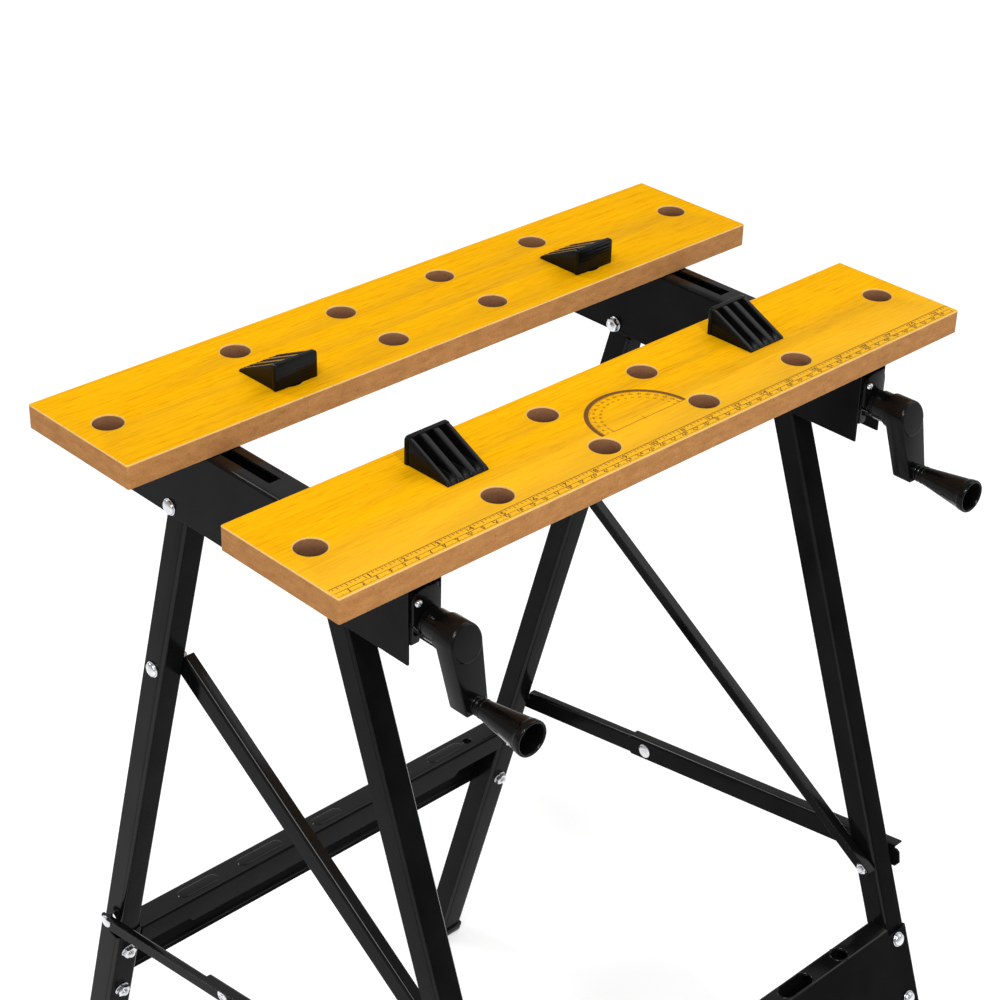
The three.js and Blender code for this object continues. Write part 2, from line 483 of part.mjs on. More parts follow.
    // Angle section in (x, v): the web's outer face is webX's far side from the flange.
    const far = flangeX[1] > webX[1] ? 0 : 1;
    const wx = far ? [webX[1], webX[0]] : webX;
    const dir = Math.sign(wx[1] - wx[0]);
    const tip = dir > 0 ? flangeX[1] : flangeX[0];
    const corner = (rr) => bend(0, 0, rr, 180, 90).map(([p, q]) => [wx[0] + dir * (r + p), top + q]);
    const section = [[wx[0], low + 6], ...corner(r), [tip, high], [tip, high - 1.5], ...corner(r - 1.5).reverse(), [wx[1], low + 6]];
    const o = at(flange[0], 0);
    const mm = new THREE.Matrix4().set(sx, 0, 0, 0, 0, m[0], u[0], o[0], 0, m[1], u[1], o[1], 0, 0, 0, 1);
    b = b.add(extrude(section, len + flange[1] - flange[0], mm));
    for (const h of holes) b = b.subtract(rodX(h[0], h[1], BOLT + 0.3, ...span(180, 230)));
    return b;
  };
  piece("braces", "brace_" + side, bar(C, E, [9, 7], -8.5, 8.5, [192.1, 193.6], [185, 193.6], [4, 6.5], [C]), PAINT);
  piece("front_stays", "front_stay_" + side, bar(E, M, [13, 20], -8, 9.9, [216.6, 218.1], [216.6, 226], [-9, 16], [E, M]), PAINT);
  piece("rear_stays", "rear_stay_" + side, bar(M, G, [7.6, 6.5], -8, 8, [218.6, 220.1], [218.6, 225], [4, -8], [M, G], true), PAINT);
}

export default root;
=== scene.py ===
import json
import math

import bmesh
import bpy
from mathutils import Matrix, Vector
from mathutils.geometry import tessellate_polygon


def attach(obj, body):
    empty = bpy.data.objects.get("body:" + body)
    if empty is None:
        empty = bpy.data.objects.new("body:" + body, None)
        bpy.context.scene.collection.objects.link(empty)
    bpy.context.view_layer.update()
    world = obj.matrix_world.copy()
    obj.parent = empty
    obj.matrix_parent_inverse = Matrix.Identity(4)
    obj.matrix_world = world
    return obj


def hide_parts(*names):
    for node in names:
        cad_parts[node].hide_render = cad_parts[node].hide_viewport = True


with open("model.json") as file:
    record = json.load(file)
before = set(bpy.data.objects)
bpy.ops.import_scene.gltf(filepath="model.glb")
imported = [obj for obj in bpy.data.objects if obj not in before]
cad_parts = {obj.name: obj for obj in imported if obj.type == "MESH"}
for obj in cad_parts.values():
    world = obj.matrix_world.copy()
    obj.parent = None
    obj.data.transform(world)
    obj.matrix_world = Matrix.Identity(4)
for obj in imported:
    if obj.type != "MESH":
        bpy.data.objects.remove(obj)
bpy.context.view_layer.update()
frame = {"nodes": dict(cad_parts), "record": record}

nodes = frame["nodes"]
scene = bpy.context.scene

# ---------------------------------------------------------------- driving dimensions, mm
# Work frame: X to the right, Y back from the front jaw's front edge, Z up from the jaw's top.
MM = 0.001
Y_MID = 131.5
HEIGHT = 790.0
JAW_L, JAW_D, JAW_T, JAW_GAP = 555.0, 105.0, 16.7, 90.0
HOLE_R = 10.0
HOLE_X = (45.0, 135.0)
HOLE_ROW = (25.5, 79.5)
HOLE_END = (254.0, 52.5)
SIDE_X = 204.0
SCREW_Z, SCREW_R = -49.0, 4.5
GRIP_Z, GRIP_BACK, GRIP_FRONT = -86.0, -34.8, -78.5
TREAD_Z, TREAD_MID, STEP_BOLT_X = -460.5, -60.9, 200.4
PEG_FACE, PEG_NOSE, PEG_HALF = 9.4, 29.0, 16.4
RULE_ZERO = -277.0
PROTRACTOR = (0.0, 34.6)


def row(p):
    """Work frame in mm to the row frame in metres."""
    return Vector((p[0] * MM, (p[1] - Y_MID) * MM, (p[2] + HEIGHT) * MM))


class Leg:
    """A leg's own axes: s runs down the leg, d back from its front face."""

    def __init__(self, y, slope):
        k = math.hypot(slope, 1)
        self.y, self.e, self.n = y, (slope / k, -1 / k), (1 / k, slope / k)

    def at(self, x, s, d):
        return (x, self.y + s * self.e[0] + d * self.n[0], -100 + s * self.e[1] + d * self.n[1])

    def s(self, z, d):
        return (z + 100 - d * self.n[1]) / self.e[1]


F = Leg(62.6, -0.355)
R = Leg(234.3, 0.279)
STEP_TOP = F.s(TREAD_Z, -3.3)
STEP_BOLTS = [STEP_TOP + 11.3, STEP_TOP + 61.0]
CROSS_TOP = R.s(-500, 0)
CROSS_TILT = 5.0
CROSS_BOLTS = [R.s(z, 0) for z in (-519, -567)]
FRONT_END = F.s(-774, -3.5)
REAR_END = R.s(-774, 21.5)


def pivot(leg, d, z):
    return leg.at(0, leg.s(z, d), d)[1:]


PA, PB, PC, PE, PG = pivot(F, 5.5, -63), pivot(R, 13.5, -71), pivot(R, 9, -216), pivot(F, 9, -417), pivot(R, 9, -482)
PM = tuple(e + 0.628 * (g - e) for e, g in zip(PE, PG))


# ---------------------------------------------------------------- materials
def new_material(name):
    m = bpy.data.materials.new(name)
    m.use_nodes = True
    t = m.node_tree
    t.nodes.clear()
    out = t.nodes.new("ShaderNodeOutputMaterial")
    b = t.nodes.new("ShaderNodeBsdfPrincipled")
    t.links.new(b.outputs["BSDF"], out.inputs["Surface"])
    return m, t, b


def coords(t, scale):
    c = t.nodes.new("ShaderNodeTexCoord")
    mp = t.nodes.new("ShaderNodeMapping")
    mp.inputs["Scale"].default_value = scale
    t.links.new(c.outputs["Object"], mp.inputs["Vector"])
    return mp.outputs["Vector"]


def noise(t, vec, scale, detail=4.0, rough=0.5):
    n = t.nodes.new("ShaderNodeTexNoise")
    n.inputs["Scale"].default_value = scale
    n.inputs["Detail"].default_value = detail
    n.inputs["Roughness"].default_value = rough
    t.links.new(vec, n.inputs["Vector"])
    return n.outputs["Fac"]


def ramp(t, fac, stops):
    r = t.nodes.new("ShaderNodeValToRGB")
    e = r.color_ramp.elements
    while len(e) < len(stops):
        e.new(0.5)
    for el, (p, c) in zip(e, stops):
        el.position = p
        el.color = (*c, 1)
    t.links.new(fac, r.inputs["Fac"])
    return r.outputs["Color"]


def mix(t, fac, a, b, kind="MIX"):
    n = t.nodes.new("ShaderNodeMix")
    n.data_type = "RGBA"
    n.blend_type = kind
    for sock, v in (("Factor", fac), ("A", a), ("B", b)):
        s = [i for i in n.inputs if i.name == sock and i.enabled][0] if sock == "Factor" else [i for i in n.inputs if i.name == sock and i.type == "RGBA"][0]
        if isinstance(v, (int, float)):
            s.default_value = v
        elif isinstance(v, tuple):
            s.default_value = (*v, 1)
        else:
            t.links.new(v, s)
    return [o for o in n.outputs if o.type == "RGBA"][0]


def remap(t, fac, a, b, lo=0.3, hi=0.7):
    n = t.nodes.new("ShaderNodeMapRange")
    n.inputs["From Min"].default_value = lo
    n.inputs["From Max"].default_value = hi
    n.inputs["To Min"].default_value = a
    n.inputs["To Max"].default_value = b
    t.links.new(fac, n.inputs["Value"])
    return n.outputs["Result"]


def bump(t, bsdf, height, strength, distance):
    n = t.nodes.new("ShaderNodeBump")
    n.inputs["Strength"].default_value = strength
    n.inputs["Distance"].default_value = distance
    t.links.new(height, n.inputs["Height"])
    t.links.new(n.outputs["Normal"], bsdf.inputs["Normal"])


def sheen(t, bsdf, stops, bend_highlight=0.0, shade=None):
    """Painted reflection: the specular level follows how far a face looks up, given as stops of (normal's Z, specular
    level).
    A painted highlight of the given strength is added where the normal turns from sideways to front, on the rounded
    edges.
    shade is (axis, from, to): painted shade, upright faces that lie deeper along the axis lose their reflection."""
    g = t.nodes.new("ShaderNodeNewGeometry")
    sep = t.nodes.new("ShaderNodeSeparateXYZ")
    t.links.new(g.outputs["Normal"], sep.inputs[0])
    fac = remap(t, sep.outputs["Z"], 0.0, 1.0, -1.0, 1.0)
    level = ramp(t, fac, [(z * 0.5 + 0.5, (v, v, v)) for z, v in stops])
    if bend_highlight:
        square = t.nodes.new("ShaderNodeMath")
        square.operation = "MULTIPLY"
        t.links.new(sep.outputs["X"], square.inputs[0])
        t.links.new(sep.outputs["X"], square.inputs[1])
        turn = ramp(t, square.outputs[0], [(0.06, (0, 0, 0)), (0.3, (bend_highlight, bend_highlight, bend_highlight)), (0.75, (bend_highlight, bend_highlight, bend_highlight)), (0.97, (0, 0, 0))])
        both = t.nodes.new("ShaderNodeMath")
        both.operation = "ADD"
        t.links.new(level, both.inputs[0])
        t.links.new(turn, both.inputs[1])
        level = both.outputs[0]
    if shade:
        axis, near, far = shade
        dot = t.nodes.new("ShaderNodeVectorMath")
        dot.operation = "DOT_PRODUCT"
        dot.inputs[1].default_value = axis
        t.links.new(coords(t, (1, 1, 1)), dot.inputs[0])
        keep = t.nodes.new("ShaderNodeMath")
        keep.operation = "MULTIPLY"
        t.links.new(remap(t, dot.outputs["Value"], 1.0, 0.08, near, far), keep.inputs[0])
        t.links.new(level, keep.inputs[1])
        up = ramp(t, fac, [(0.62, (0, 0, 0)), (0.75, (1, 1, 1))])
        level = mix(t, up, keep.outputs[0], level)
    t.links.new(level, bsdf.inputs["Specular IOR Level"])


def laminate_material():
    m, t, b = new_material("laminate")
    grain = noise(t, coords(t, (7, 620, 30)), 1.0, 6, 0.6)
    flow = noise(t, coords(t, (2.2, 34, 10)), 1.0, 3, 0.5)
    fleck = noise(t, coords(t, (55, 1900, 60)), 1.0, 2, 0.5)
    deep = ramp(t, grain, [(0.3, (0.73, 0.335, 0.0015)), (0.52, (0.87, 0.425, 0.002)), (0.75, (0.94, 0.485, 0.004))])
    broad = ramp(t, flow, [(0.35, (0.83, 0.40, 0.002)), (0.65, (0.91, 0.46, 0.004))])
    col = mix(t, 0.45, deep, broad)
    streak = ramp(t, fleck, [(0.36, (0.55, 0.25, 0.01)), (0.44, (1.0, 1.0, 1.0))])
    col = mix(t, 0.38, col, streak, "MULTIPLY")
    # painted light: a little paler towards the front edge, a painted reflection of the bright surroundings
    sep = t.nodes.new("ShaderNodeSeparateXYZ")
    t.links.new(coords(t, (1, 1, 1)), sep.inputs[0])
    painted_front_light = remap(t, sep.outputs["Y"], 0.7, 0.0, -0.1315, -0.072)
    col = mix(t, painted_front_light, col, (0.86, 0.47, 0.034))
    t.links.new(col, b.inputs["Base Color"])
    t.links.new(remap(t, grain, 0.34, 0.46), b.inputs["Roughness"])
    b.inputs["Specular IOR Level"].default_value = 0.01
    bump(t, b, grain, 0.08, 0.0002)
    return m


def fibre_material(name, dark, mid, light, rough=0.85, deep=0.0):
    m, t, b = new_material(name)
    fine = noise(t, coords(t, (1, 1, 1)), 1500, 3, 0.6)
    cloud = noise(t, coords(t, (1, 1, 2.5)), 90, 4, 0.6)
    speck = noise(t, coords(t, (1, 1, 1)), 620, 2, 0.5)
    col = ramp(t, fine, [(0.3, dark), (0.5, mid), (0.72, light)])
    col = mix(t, 0.45, col, ramp(t, cloud, [(0.3, dark), (0.7, light)]))
    spots = ramp(t, speck, [(0.27, (0.45, 0.36, 0.3)), (0.36, (1, 1, 1))])
    col = mix(t, 0.6, col, spots, "MULTIPLY")
    # painted shade: the colour darkens towards the bottom of the board, as shade falls inside the bores
    if deep:
        sep = t.nodes.new("ShaderNodeSeparateXYZ")
        t.links.new(coords(t, (1, 1, 1)), sep.inputs[0])
        shade = remap(t, sep.outputs["Z"], 0.0, 1.0, (HEIGHT - JAW_T) * MM, HEIGHT * MM)
        col = mix(t, deep, col, ramp(t, shade, [(0.25, (0.22, 0.18, 0.16)), (0.62, (0.6, 0.56, 0.54)), (0.95, (1.0, 1.0, 1.0))]), "MULTIPLY")
    t.links.new(col, b.inputs["Base Color"])
    t.links.new(remap(t, fine, rough - 0.08, rough + 0.08), b.inputs["Roughness"])
    b.inputs["Specular IOR Level"].default_value = 0.2
    bump(t, b, fine, 0.25, 0.0002)
    return m


def paint_material(name="black_powder_coat", shade=None):
    m, t, b = new_material(name)
    peel = noise(t, coords(t, (1, 1, 1)), 420, 3, 0.5)
    cloud = noise(t, coords(t, (1, 1, 1)), 26, 4, 0.55)
    t.links.new(ramp(t, cloud, [(0.35, (0.0030, 0.0031, 0.0033)), (0.65, (0.0050, 0.0052, 0.0054))]), b.inputs["Base Color"])
    t.links.new(remap(t, cloud, 0.12, 0.19), b.inputs["Roughness"])
    # painted reflection: specular level by how far each face looks up, with a painted highlight on the rounded bends
    sheen(t, b, [(-0.35, 0.016), (-0.2, 0.02), (-0.06, 0.032), (0.06, 0.042), (0.25, 0.014), (0.45, 0.02), (0.7, 0.08), (0.95, 0.34)], 0.15, shade)
    bump(t, b, peel, 0.045, 0.0002)
    return m


def plastic_material():
    m, t, b = new_material("black_plastic")
    tex = noise(t, coords(t, (1, 1, 1)), 1100, 3, 0.5)
    cloud = noise(t, coords(t, (1, 1, 1)), 48, 4, 0.55)
    t.links.new(ramp(t, cloud, [(0.35, (0.0020, 0.0020, 0.0021)), (0.65, (0.0038, 0.0038, 0.0039))]), b.inputs["Base Color"])
    t.links.new(remap(t, cloud, 0.13, 0.2), b.inputs["Roughness"])
    # painted reflection: specular level by how far each face looks up
    sheen(t, b, [(-0.2, 0.09), (0.1, 0.11), (0.35, 0.17), (0.6, 0.2)])
    bump(t, b, tex, 0.07, 0.0002)
    return m


def zinc_material():
    m, t, b = new_material("zinc_plate")
    turn = noise(t, coords(t, (1, 1, 1)), 700, 4, 0.6)
    cloud = noise(t, coords(t, (1, 1, 1)), 180, 3, 0.5)
    t.links.new(ramp(t, cloud, [(0.3, (0.62, 0.63, 0.65)), (0.7, (0.80, 0.81, 0.83))]), b.inputs["Base Color"])
    b.inputs["Metallic"].default_value = 1.0
    t.links.new(remap(t, turn, 0.2, 0.36), b.inputs["Roughness"])
    bump(t, b, turn, 0.05, 0.0001)
    return m


def ink_material(name, a, c):
    m, t, b = new_material(name)
    wear = noise(t, coords(t, (1, 1, 1)), 900, 3, 0.6)
    t.links.new(ramp(t, wear, [(0.35, a), (0.7, c)]), b.inputs["Base Color"])
    t.links.new(remap(t, wear, 0.42, 0.55), b.inputs["Roughness"])
    b.inputs["Specular IOR Level"].default_value = 0.3
    return m


def floor_material():
    m, t, b = new_material("pale_floor")
    n = noise(t, coords(t, (1, 1, 1)), 3.0, 4, 0.5)
    t.links.new(ramp(t, n, [(0.3, (0.86, 0.86, 0.86)), (0.7, (0.885, 0.885, 0.885))]), b.inputs["Base Color"])
    b.inputs["Roughness"].default_value = 0.75
    b.inputs["Specular IOR Level"].default_value = 0.1
    b.inputs["Emission Color"].default_value = (1, 1, 1, 1)
    dot = t.nodes.new("ShaderNodeVectorMath")
    dot.operation = "DOT_PRODUCT"
    dot.inputs[1].default_value = (0.6, 0.62, 0)
    t.links.new(coords(t, (1, 1, 1)), dot.inputs[0])
    t.links.new(remap(t, dot.outputs["Value"], 0.36, 0.55, 0.4, 3.0), b.inputs["Emission Strength"])
    return m


LAMINATE = laminate_material()
FIBRE = fibre_material("fibreboard_edge", (0.27, 0.115, 0.033), (0.395, 0.175, 0.053), (0.51, 0.25, 0.086))
# the last argument turns on the painted shade inside the bores
BORE = fibre_material("fibreboard_bore", (0.19, 0.082, 0.036), (0.26, 0.118, 0.052), (0.34, 0.165, 0.076), 0.85, 1.0)
PALE = fibre_material("laminate_edge", (0.64, 0.40, 0.13), (0.74, 0.48, 0.17), (0.82, 0.56, 0.23), 0.7)
BACKING = fibre_material("board_underside", (0.34, 0.19, 0.085), (0.42, 0.25, 0.115), (0.50, 0.31, 0.15), 0.7)
PAINT = paint_material()
PLASTIC = plastic_material()
ZINC = zinc_material()
INK = ink_material("brown_ink", (0.13, 0.045, 0.004), (0.20, 0.075, 0.006))
DARK_INK = ink_material("dark_ink", (0.035, 0.014, 0.004), (0.075, 0.03, 0.006))
LINE_INK = ink_material("line_ink", (0.22, 0.085, 0.004), (0.31, 0.125, 0.007))


# ---------------------------------------------------------------- mesh tools
class Shape:
    """Vertices in the work frame, faces and a material number for each face."""

    def __init__(self):
        self.v, self.f, self.m = [], [], []

    def put(self, verts, faces, m=0):
        o = len(self.v)
        self.v += [tuple(p) for p in verts]
        self.f += [[i + o for i in f] for f in faces]
        self.m += [m] * len(faces)


def piece(name, shape, body, mats, replaces=(), smooth=32, weld=1e-7):
    me = bpy.data.meshes.new(name)
    me.from_pydata([row(p) for p in shape.v], [], shape.f)
    for m in mats:
        me.materials.append(m)
    me.polygons.foreach_set("material_index", shape.m)
    bm = bmesh.new()
    bm.from_mesh(me)
    bmesh.ops.remove_doubles(bm, verts=bm.verts, dist=weld)
    bmesh.ops.recalc_face_normals(bm, faces=bm.faces)
    bm.to_mesh(me)
    bm.free()
    me.polygons.foreach_set("use_smooth", [True] * len(me.polygons))
    me.set_sharp_from_angle(angle=math.radians(smooth))
    me.update()
    ob = bpy.data.objects.new(name, me)
    scene.collection.objects.link(ob)
    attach(ob, body)
    if replaces:
        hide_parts(*replaces)
    return ob


def lathe(sh, profile, origin, axis, seg=40, m=0, closed=False, turn=0.0):
    """A turned solid: profile holds (distance along the axis, radius)."""
    a = Vector(axis).normalized()
    u = a.orthogonal().normalized()
    w = a.cross(u)
    o = Vector(origin)
    verts, rings, faces = [], [], []
    for t, r in profile:
        if r < 1e-6:
            rings.append([len(verts)])
            verts.append(o + a * t)
        else:
            rings.append(list(range(len(verts), len(verts) + seg)))
            for i in range(seg):
                c = 2 * math.pi * i / seg + turn
                verts.append(o + a * t + (u * math.cos(c) + w * math.sin(c)) * r)
    pairs = list(zip(rings, rings[1:]))
    if closed:
        pairs.append((rings[-1], rings[0]))
    for p, q in pairs:
        if len(p) == 1 and len(q) == 1:
            continue
        for i in range(seg):
            j = (i + 1) % seg
            if len(p) == 1:
                faces.append([p[0], q[j], q[i]])
            elif len(q) == 1:
                faces.append([p[i], p[j], q[0]])
            else:
                faces.append([p[i], p[j], q[j], q[i]])
    if not closed:
        if len(rings[0]) > 1:
            faces.append(rings[0][::-1])
        if len(rings[-1]) > 1:
            faces.append(rings[-1])
    sh.put(verts, faces, m)


def soften(pts, r, n=3, closed=False):
    """Rounds the corners of a polyline; r is the length taken from each side of a corner."""
    out = []
    k = len(pts)
    for i, p in enumerate(pts):
        if not closed and i in (0, k - 1):
            out.append(tuple(p))
            continue
        rad = r[i] if isinstance(r, (list, tuple)) else r
        p, a, b = Vector(p), Vector(pts[i - 1]), Vector(pts[(i + 1) % k])
        la, lb = (a - p).length, (b - p).length
        c = min(rad, 0.49 * la, 0.49 * lb)
        if c < 1e-5:
            out.append(tuple(p))
            continue
        p0, p1 = p + (a - p) * (c / la), p + (b - p) * (c / lb)
        for j in range(n + 1):
            t = j / n
            out.append(tuple(p0 * (1 - t) ** 2 + p * (2 * t * (1 - t)) + p1 * t * t))
    return out


def area(pts):
    return 0.5 * sum(a[0] * b[1] - b[0] * a[1] for a, b in zip(pts, pts[1:] + pts[:1]))


def inset(pts, d):
    """A closed outline moved inwards by d."""
    if area(pts) < 0:
        return inset(pts[::-1], d)[::-1]
    out, k = [], len(pts)
    for i, p in enumerate(pts):
        p, a, b = Vector(p), Vector(pts[i - 1]), Vector(pts[(i + 1) % k])
        e0, e1 = (p - a).normalized(), (b - p).normalized()
        n0, n1 = Vector((-e0.y, e0.x)), Vector((-e1.y, e1.x))
        s = n0 + n1
        if s.length < 1e-6:
            out.append(tuple(p))
            continue
        s.normalize()
        out.append(tuple(p + s * (d / max(0.4, s.dot(n0)))))
    return out


def slab(sh, outline, t0, t1, place, b=0.5, n=2, m=0, b0=None):
    """An outline drawn from t0 to t1 with rounded rims; place(u, v, t) gives the point."""
    b0 = b if b0 is None else b0
    sg = 1 if t1 > t0 else -1
    rings = []
    if b0 > 0:
        for j in range(n + 1):
            a = math.pi / 2 * j / n
            rings.append((inset(outline, b0 * (1 - math.sin(a))), t0 + sg * b0 * (1 - math.cos(a))))
    else:
        rings.append((outline, t0))
    if b > 0:
        for j in range(n + 1):
            a = math.pi / 2 * j / n
            rings.append((inset(outline, b * (1 - math.cos(a))), t1 - sg * b * (1 - math.sin(a))))
    else:
        rings.append((outline, t1))
    loft(sh, [[place(u, v, t) for u, v in pts] for pts, t in rings], m)


def loft(sh, rings, m=0, caps=True):
    k = len(rings[0])
    verts = [p for r in rings for p in r]
    faces = []
    for i in range(len(rings) - 1):
        for j in range(k):
            q = (j + 1) % k
            faces.append([i * k + j, i * k + q, (i + 1) * k + q, (i + 1) * k + j])
    if caps:
        faces.append(list(range(k))[::-1])
        faces.append([(len(rings) - 1) * k + j for j in range(k)])
    sh.put(verts, faces, m)


def rounded_box(x0, x1, y0, y1, r, n=4):
    out = []
    for cx, cy, a0 in ((x1 - r, y1 - r, 0), (x0 + r, y1 - r, 90), (x0 + r, y0 + r, 180), (x1 - r, y0 + r, 270)):
        for i in range(n + 1):
            a = math.radians(a0 + 90 * i / n)
            out.append((cx + r * math.cos(a), cy + r * math.sin(a)))
    return out


def circle(cx, cy, r, n=56, turn=0.0):
    return [(cx + r * math.cos(2 * math.pi * i / n + turn), cy + r * math.sin(2 * math.pi * i / n + turn)) for i in range(n)]


def hexagon(sh, origin, axis, flats, t0, t1, m=0, both=True, turn=0.0, bore=0.0):
    """A hex head or nut with turned chamfers, between t0 and t1 along the axis."""
    a = Vector(axis).normalized()
    u = a.orthogonal().normalized()
    w = a.cross(u)
    o = Vector(origin)
    rin = flats / 2
    pts = []
    for k in range(6):
        for j in range(4):
            ang0, ang1 = math.pi / 3 * k, math.pi / 3 * (k + 1)
            rc = rin / math.cos(math.pi / 6)
            x = rc * (math.cos(ang0) * (1 - j / 4) + math.cos(ang1) * j / 4)
            y = rc * (math.sin(ang0) * (1 - j / 4) + math.sin(ang1) * j / 4)
            pts.append((math.hypot(x, y), math.atan2(y, x) + turn))
    sg = 1 if t1 > t0 else -1

    def ring(fn):
        out = []
        for rho, ang in pts:
            t, r = fn(rho)
            out.append(o + a * t + (u * math.cos(ang) + w * math.sin(ang)) * r)
        return out

    rr = rin * 0.97
    rings = []
    if both:
        rings += [ring(lambda p: (t0, rr)), ring(lambda p: (t0 + sg * (p - rr) * 0.55, p))]
    else:
        rings += [ring(lambda p: (t0, p))]
    rings += [ring(lambda p: (t1 - sg * (p - rr) * 0.55, p)), ring(lambda p: (t1, rr))]
    loft(sh, rings, m)


def thread(sh, origin, axis, root, crest, pitch, t0, t1, seg=20, m=0):
    """A closed ridge wound right-handed round a core."""
    a = Vector(axis).normalized()
    u = a.orthogonal().normalized()
    w = a.cross(u)
    o = Vector(origin)
    w0, w1 = pitch * 0.40, pitch * 0.13
    count = int((t1 - t0 - 2 * w0) / pitch * seg)
    rings = []
    for i in range(count + 1):
        ang = 2 * math.pi * i / seg
        t = t0 + w0 + pitch * i / seg
        f = min(1.0, i / (seg * 0.5), (count - i) / (seg * 0.5))
        rc = root + (crest - root) * max(0.03, f)
        d = u * math.cos(ang) + w * math.sin(ang)
        rings.append([o + a * (t + k) + d * r for k, r in ((-w0, root - 0.25), (-w1, rc), (w1, rc), (w0, root - 0.25))])
    loft(sh, rings, m)


# ---------------------------------------------------------------- jaws
def board(name, body, node, y0, rows, end_y):
    l = JAW_L / 2
    sh = Shape()
    edge = rounded_box(-l, l, y0, y0 + JAW_D, 1.6, 4)
    cx = [(s * x, y) for s in (-1, 1) for x in HOLE_X for y in rows] + [(s * HOLE_END[0], end_y) for s in (-1, 1)]
    loops = [edge] + [circle(x, y, HOLE_R) for x, y in cx]

    def moved(i, d):
        if i == 0:
            return inset(edge, d)
        x, y = cx[i - 1]
        return circle(x, y, HOLE_R + d)

    for i, loop in enumerate(loops):
        top = 0.5 if i == 0 else 0.6
        levels = [(moved(i, top), 0.0), (moved(i, top * 0.35), -0.22), (loop, -0.8), (loop, -JAW_T + 0.4), (moved(i, 0.4), -JAW_T)]
        k = len(loop)
        rings = [[(x, y, z) for x, y in pts] for pts, z in levels]
        verts = [p for r in rings for p in r]
        for lev, m in ((0, 1), (1, 1), (2, 2 if i == 0 else 3), (3, 4)):
            faces = [[lev * k + j, lev * k + (j + 1) % k, (lev + 1) * k + (j + 1) % k, (lev + 1) * k + j] for j in range(k)]
            if lev == 0:
                base = len(sh.v)
                sh.v += verts
            sh.f += [[base + q for q in f] for f in faces]
            sh.m += [m] * k
    for z, m, which in ((0.0, 0, "top"), (-JAW_T, 4, "low")):
        polys = [[Vector((x, y, 0)) for x, y in moved(i, (0.5 if i == 0 else 0.6) if which == "top" else 0.4)] for i in range(len(loops))]
        flat = [p for poly in polys for p in poly]
        tris = tessellate_polygon(polys)
        sh.put([(p.x, p.y, z) for p in flat], [list(t) for t in tris], m)
    return piece(name, sh, body, [LAMINATE, PALE, FIBRE, BORE, BACKING], [node], smooth=30)


REAR_Y = JAW_D + JAW_GAP
REAR_BACK = REAR_Y + JAW_D
board("front_board", "top_frame", "front_jaw", 0.0, HOLE_ROW, HOLE_END[1])
board("rear_board", "moving_jaw", "rear_jaw", REAR_Y, tuple(REAR_BACK - r for r in HOLE_ROW), REAR_BACK - HOLE_END[1])


# ---------------------------------------------------------------- printed rule and protractor
INK_TOP, INK_LOW = 0.05, -0.05


def digit_shapes():
    """Filled outlines of the ten digits, one unit high, as closed solids."""
    out = {}
    for ch in "0123456789":
        cu = bpy.data.curves.new("digit_" + ch, "FONT")
        cu.body = ch
        cu.resolution_u = 2
        cu.extrude = 0.5
        ob = bpy.data.objects.new("digit_" + ch, cu)
        scene.collection.objects.link(ob)
        bpy.context.view_layer.update()
        me = bpy.data.meshes.new_from_object(ob.evaluated_get(bpy.context.evaluated_depsgraph_get()))
        vs = [v.co.copy() for v in me.vertices]
        fs = [list(p.vertices) for p in me.polygons]
        bpy.data.objects.remove(ob)
        bpy.data.curves.remove(cu)
        bpy.data.meshes.remove(me)
        x0, x1 = min(v.x for v in vs), max(v.x for v in vs)
        y0, y1 = min(v.y for v in vs), max(v.y for v in vs)
        k = 1 / (y1 - y0)
        out[ch] = ([((v.x - x0) * k, (v.y - y0) * k, v.z) for v in vs], fs, (x1 - x0) * k)
    return out


DIGITS = digit_shapes()


def number(sh, text, x, y, high, turn=0.0, m=0, bold=1.0):
    gap = 0.16
    total = sum(DIGITS[c][2] for c in text) + gap * (len(text) - 1)
    pen = -total / 2
    ca, sa = math.cos(turn), math.sin(turn)
    for c in text:
        vs, fs, w = DIGITS[c]
        out = []
        for vx, vy, vz in vs:
            a, b = (pen + vx) * high * bold, (vy - 0.5) * high
            out.append((x + a * ca - b * sa, y + a * sa + b * ca, INK_TOP if vz > 0 else INK_LOW))
        sh.put(out, fs, m)
        pen += w + gap


def ink_poly(sh, pts, m=0):
    loft(sh, [[(x, y, INK_LOW) for x, y in pts], [(x, y, INK_TOP) for x, y in pts]], m)


def ink_line(sh, x0, y0, x1, y1, w, m=0):
    d = Vector((x1 - x0, y1 - y0)).normalized()
    nx, ny = -d.y * w / 2, d.x * w / 2
    ink_poly(sh, [(x0 + nx, y0 + ny), (x0 - nx, y0 - ny), (x1 - nx, y1 - ny), (x1 + nx, y1 + ny)], m)


def rule():
    sh = Shape()
    end = RULE_ZERO + 25.4 * 21.75
    back, mid = 10.9, 5.6
    ink_line(sh, RULE_ZERO + 1.2, back, end, back, 0.42, 1)
    ink_line(sh, RULE_ZERO + 1.2, mid, end, mid, 0.4, 1)
    for i in range(1, int(21.75 * 16) + 1):
        x = RULE_ZERO + 25.4 * i / 16
        ln = 4.3 if i % 16 == 0 else 3.2 if i % 8 == 0 else 2.6 if i % 4 == 0 else 2.2 if i % 2 == 0 else 1.2
        ink_line(sh, x, back, x, back - ln, 0.5 if i % 2 == 0 else 0.3, 0)
    for i in range(1, 551):
        x = RULE_ZERO + i
        if x > end:
            break
        ln = 3.2 if i % 10 == 0 else 2.0 if i % 5 == 0 else 1.2
        ink_line(sh, x, 1.6, x, 1.6 + ln * 0.62, 0.75 if i % 10 == 0 else 0.34, 0)
    for n in range(1, 22):
        number(sh, str(n), RULE_ZERO + 25.4 * n + (2.8 if n < 10 else 3.7), 7.9, 3.4, m=2, bold=1.5)
    for n in range(1, 55):
        number(sh, str(n), RULE_ZERO + 10 * n + (0.3 if n < 10 else 0.2), 4.4, 2.5, m=2, bold=1.6)
    piece("rule_print", sh, "top_frame", [INK, LINE_INK, DARK_INK], smooth=20)


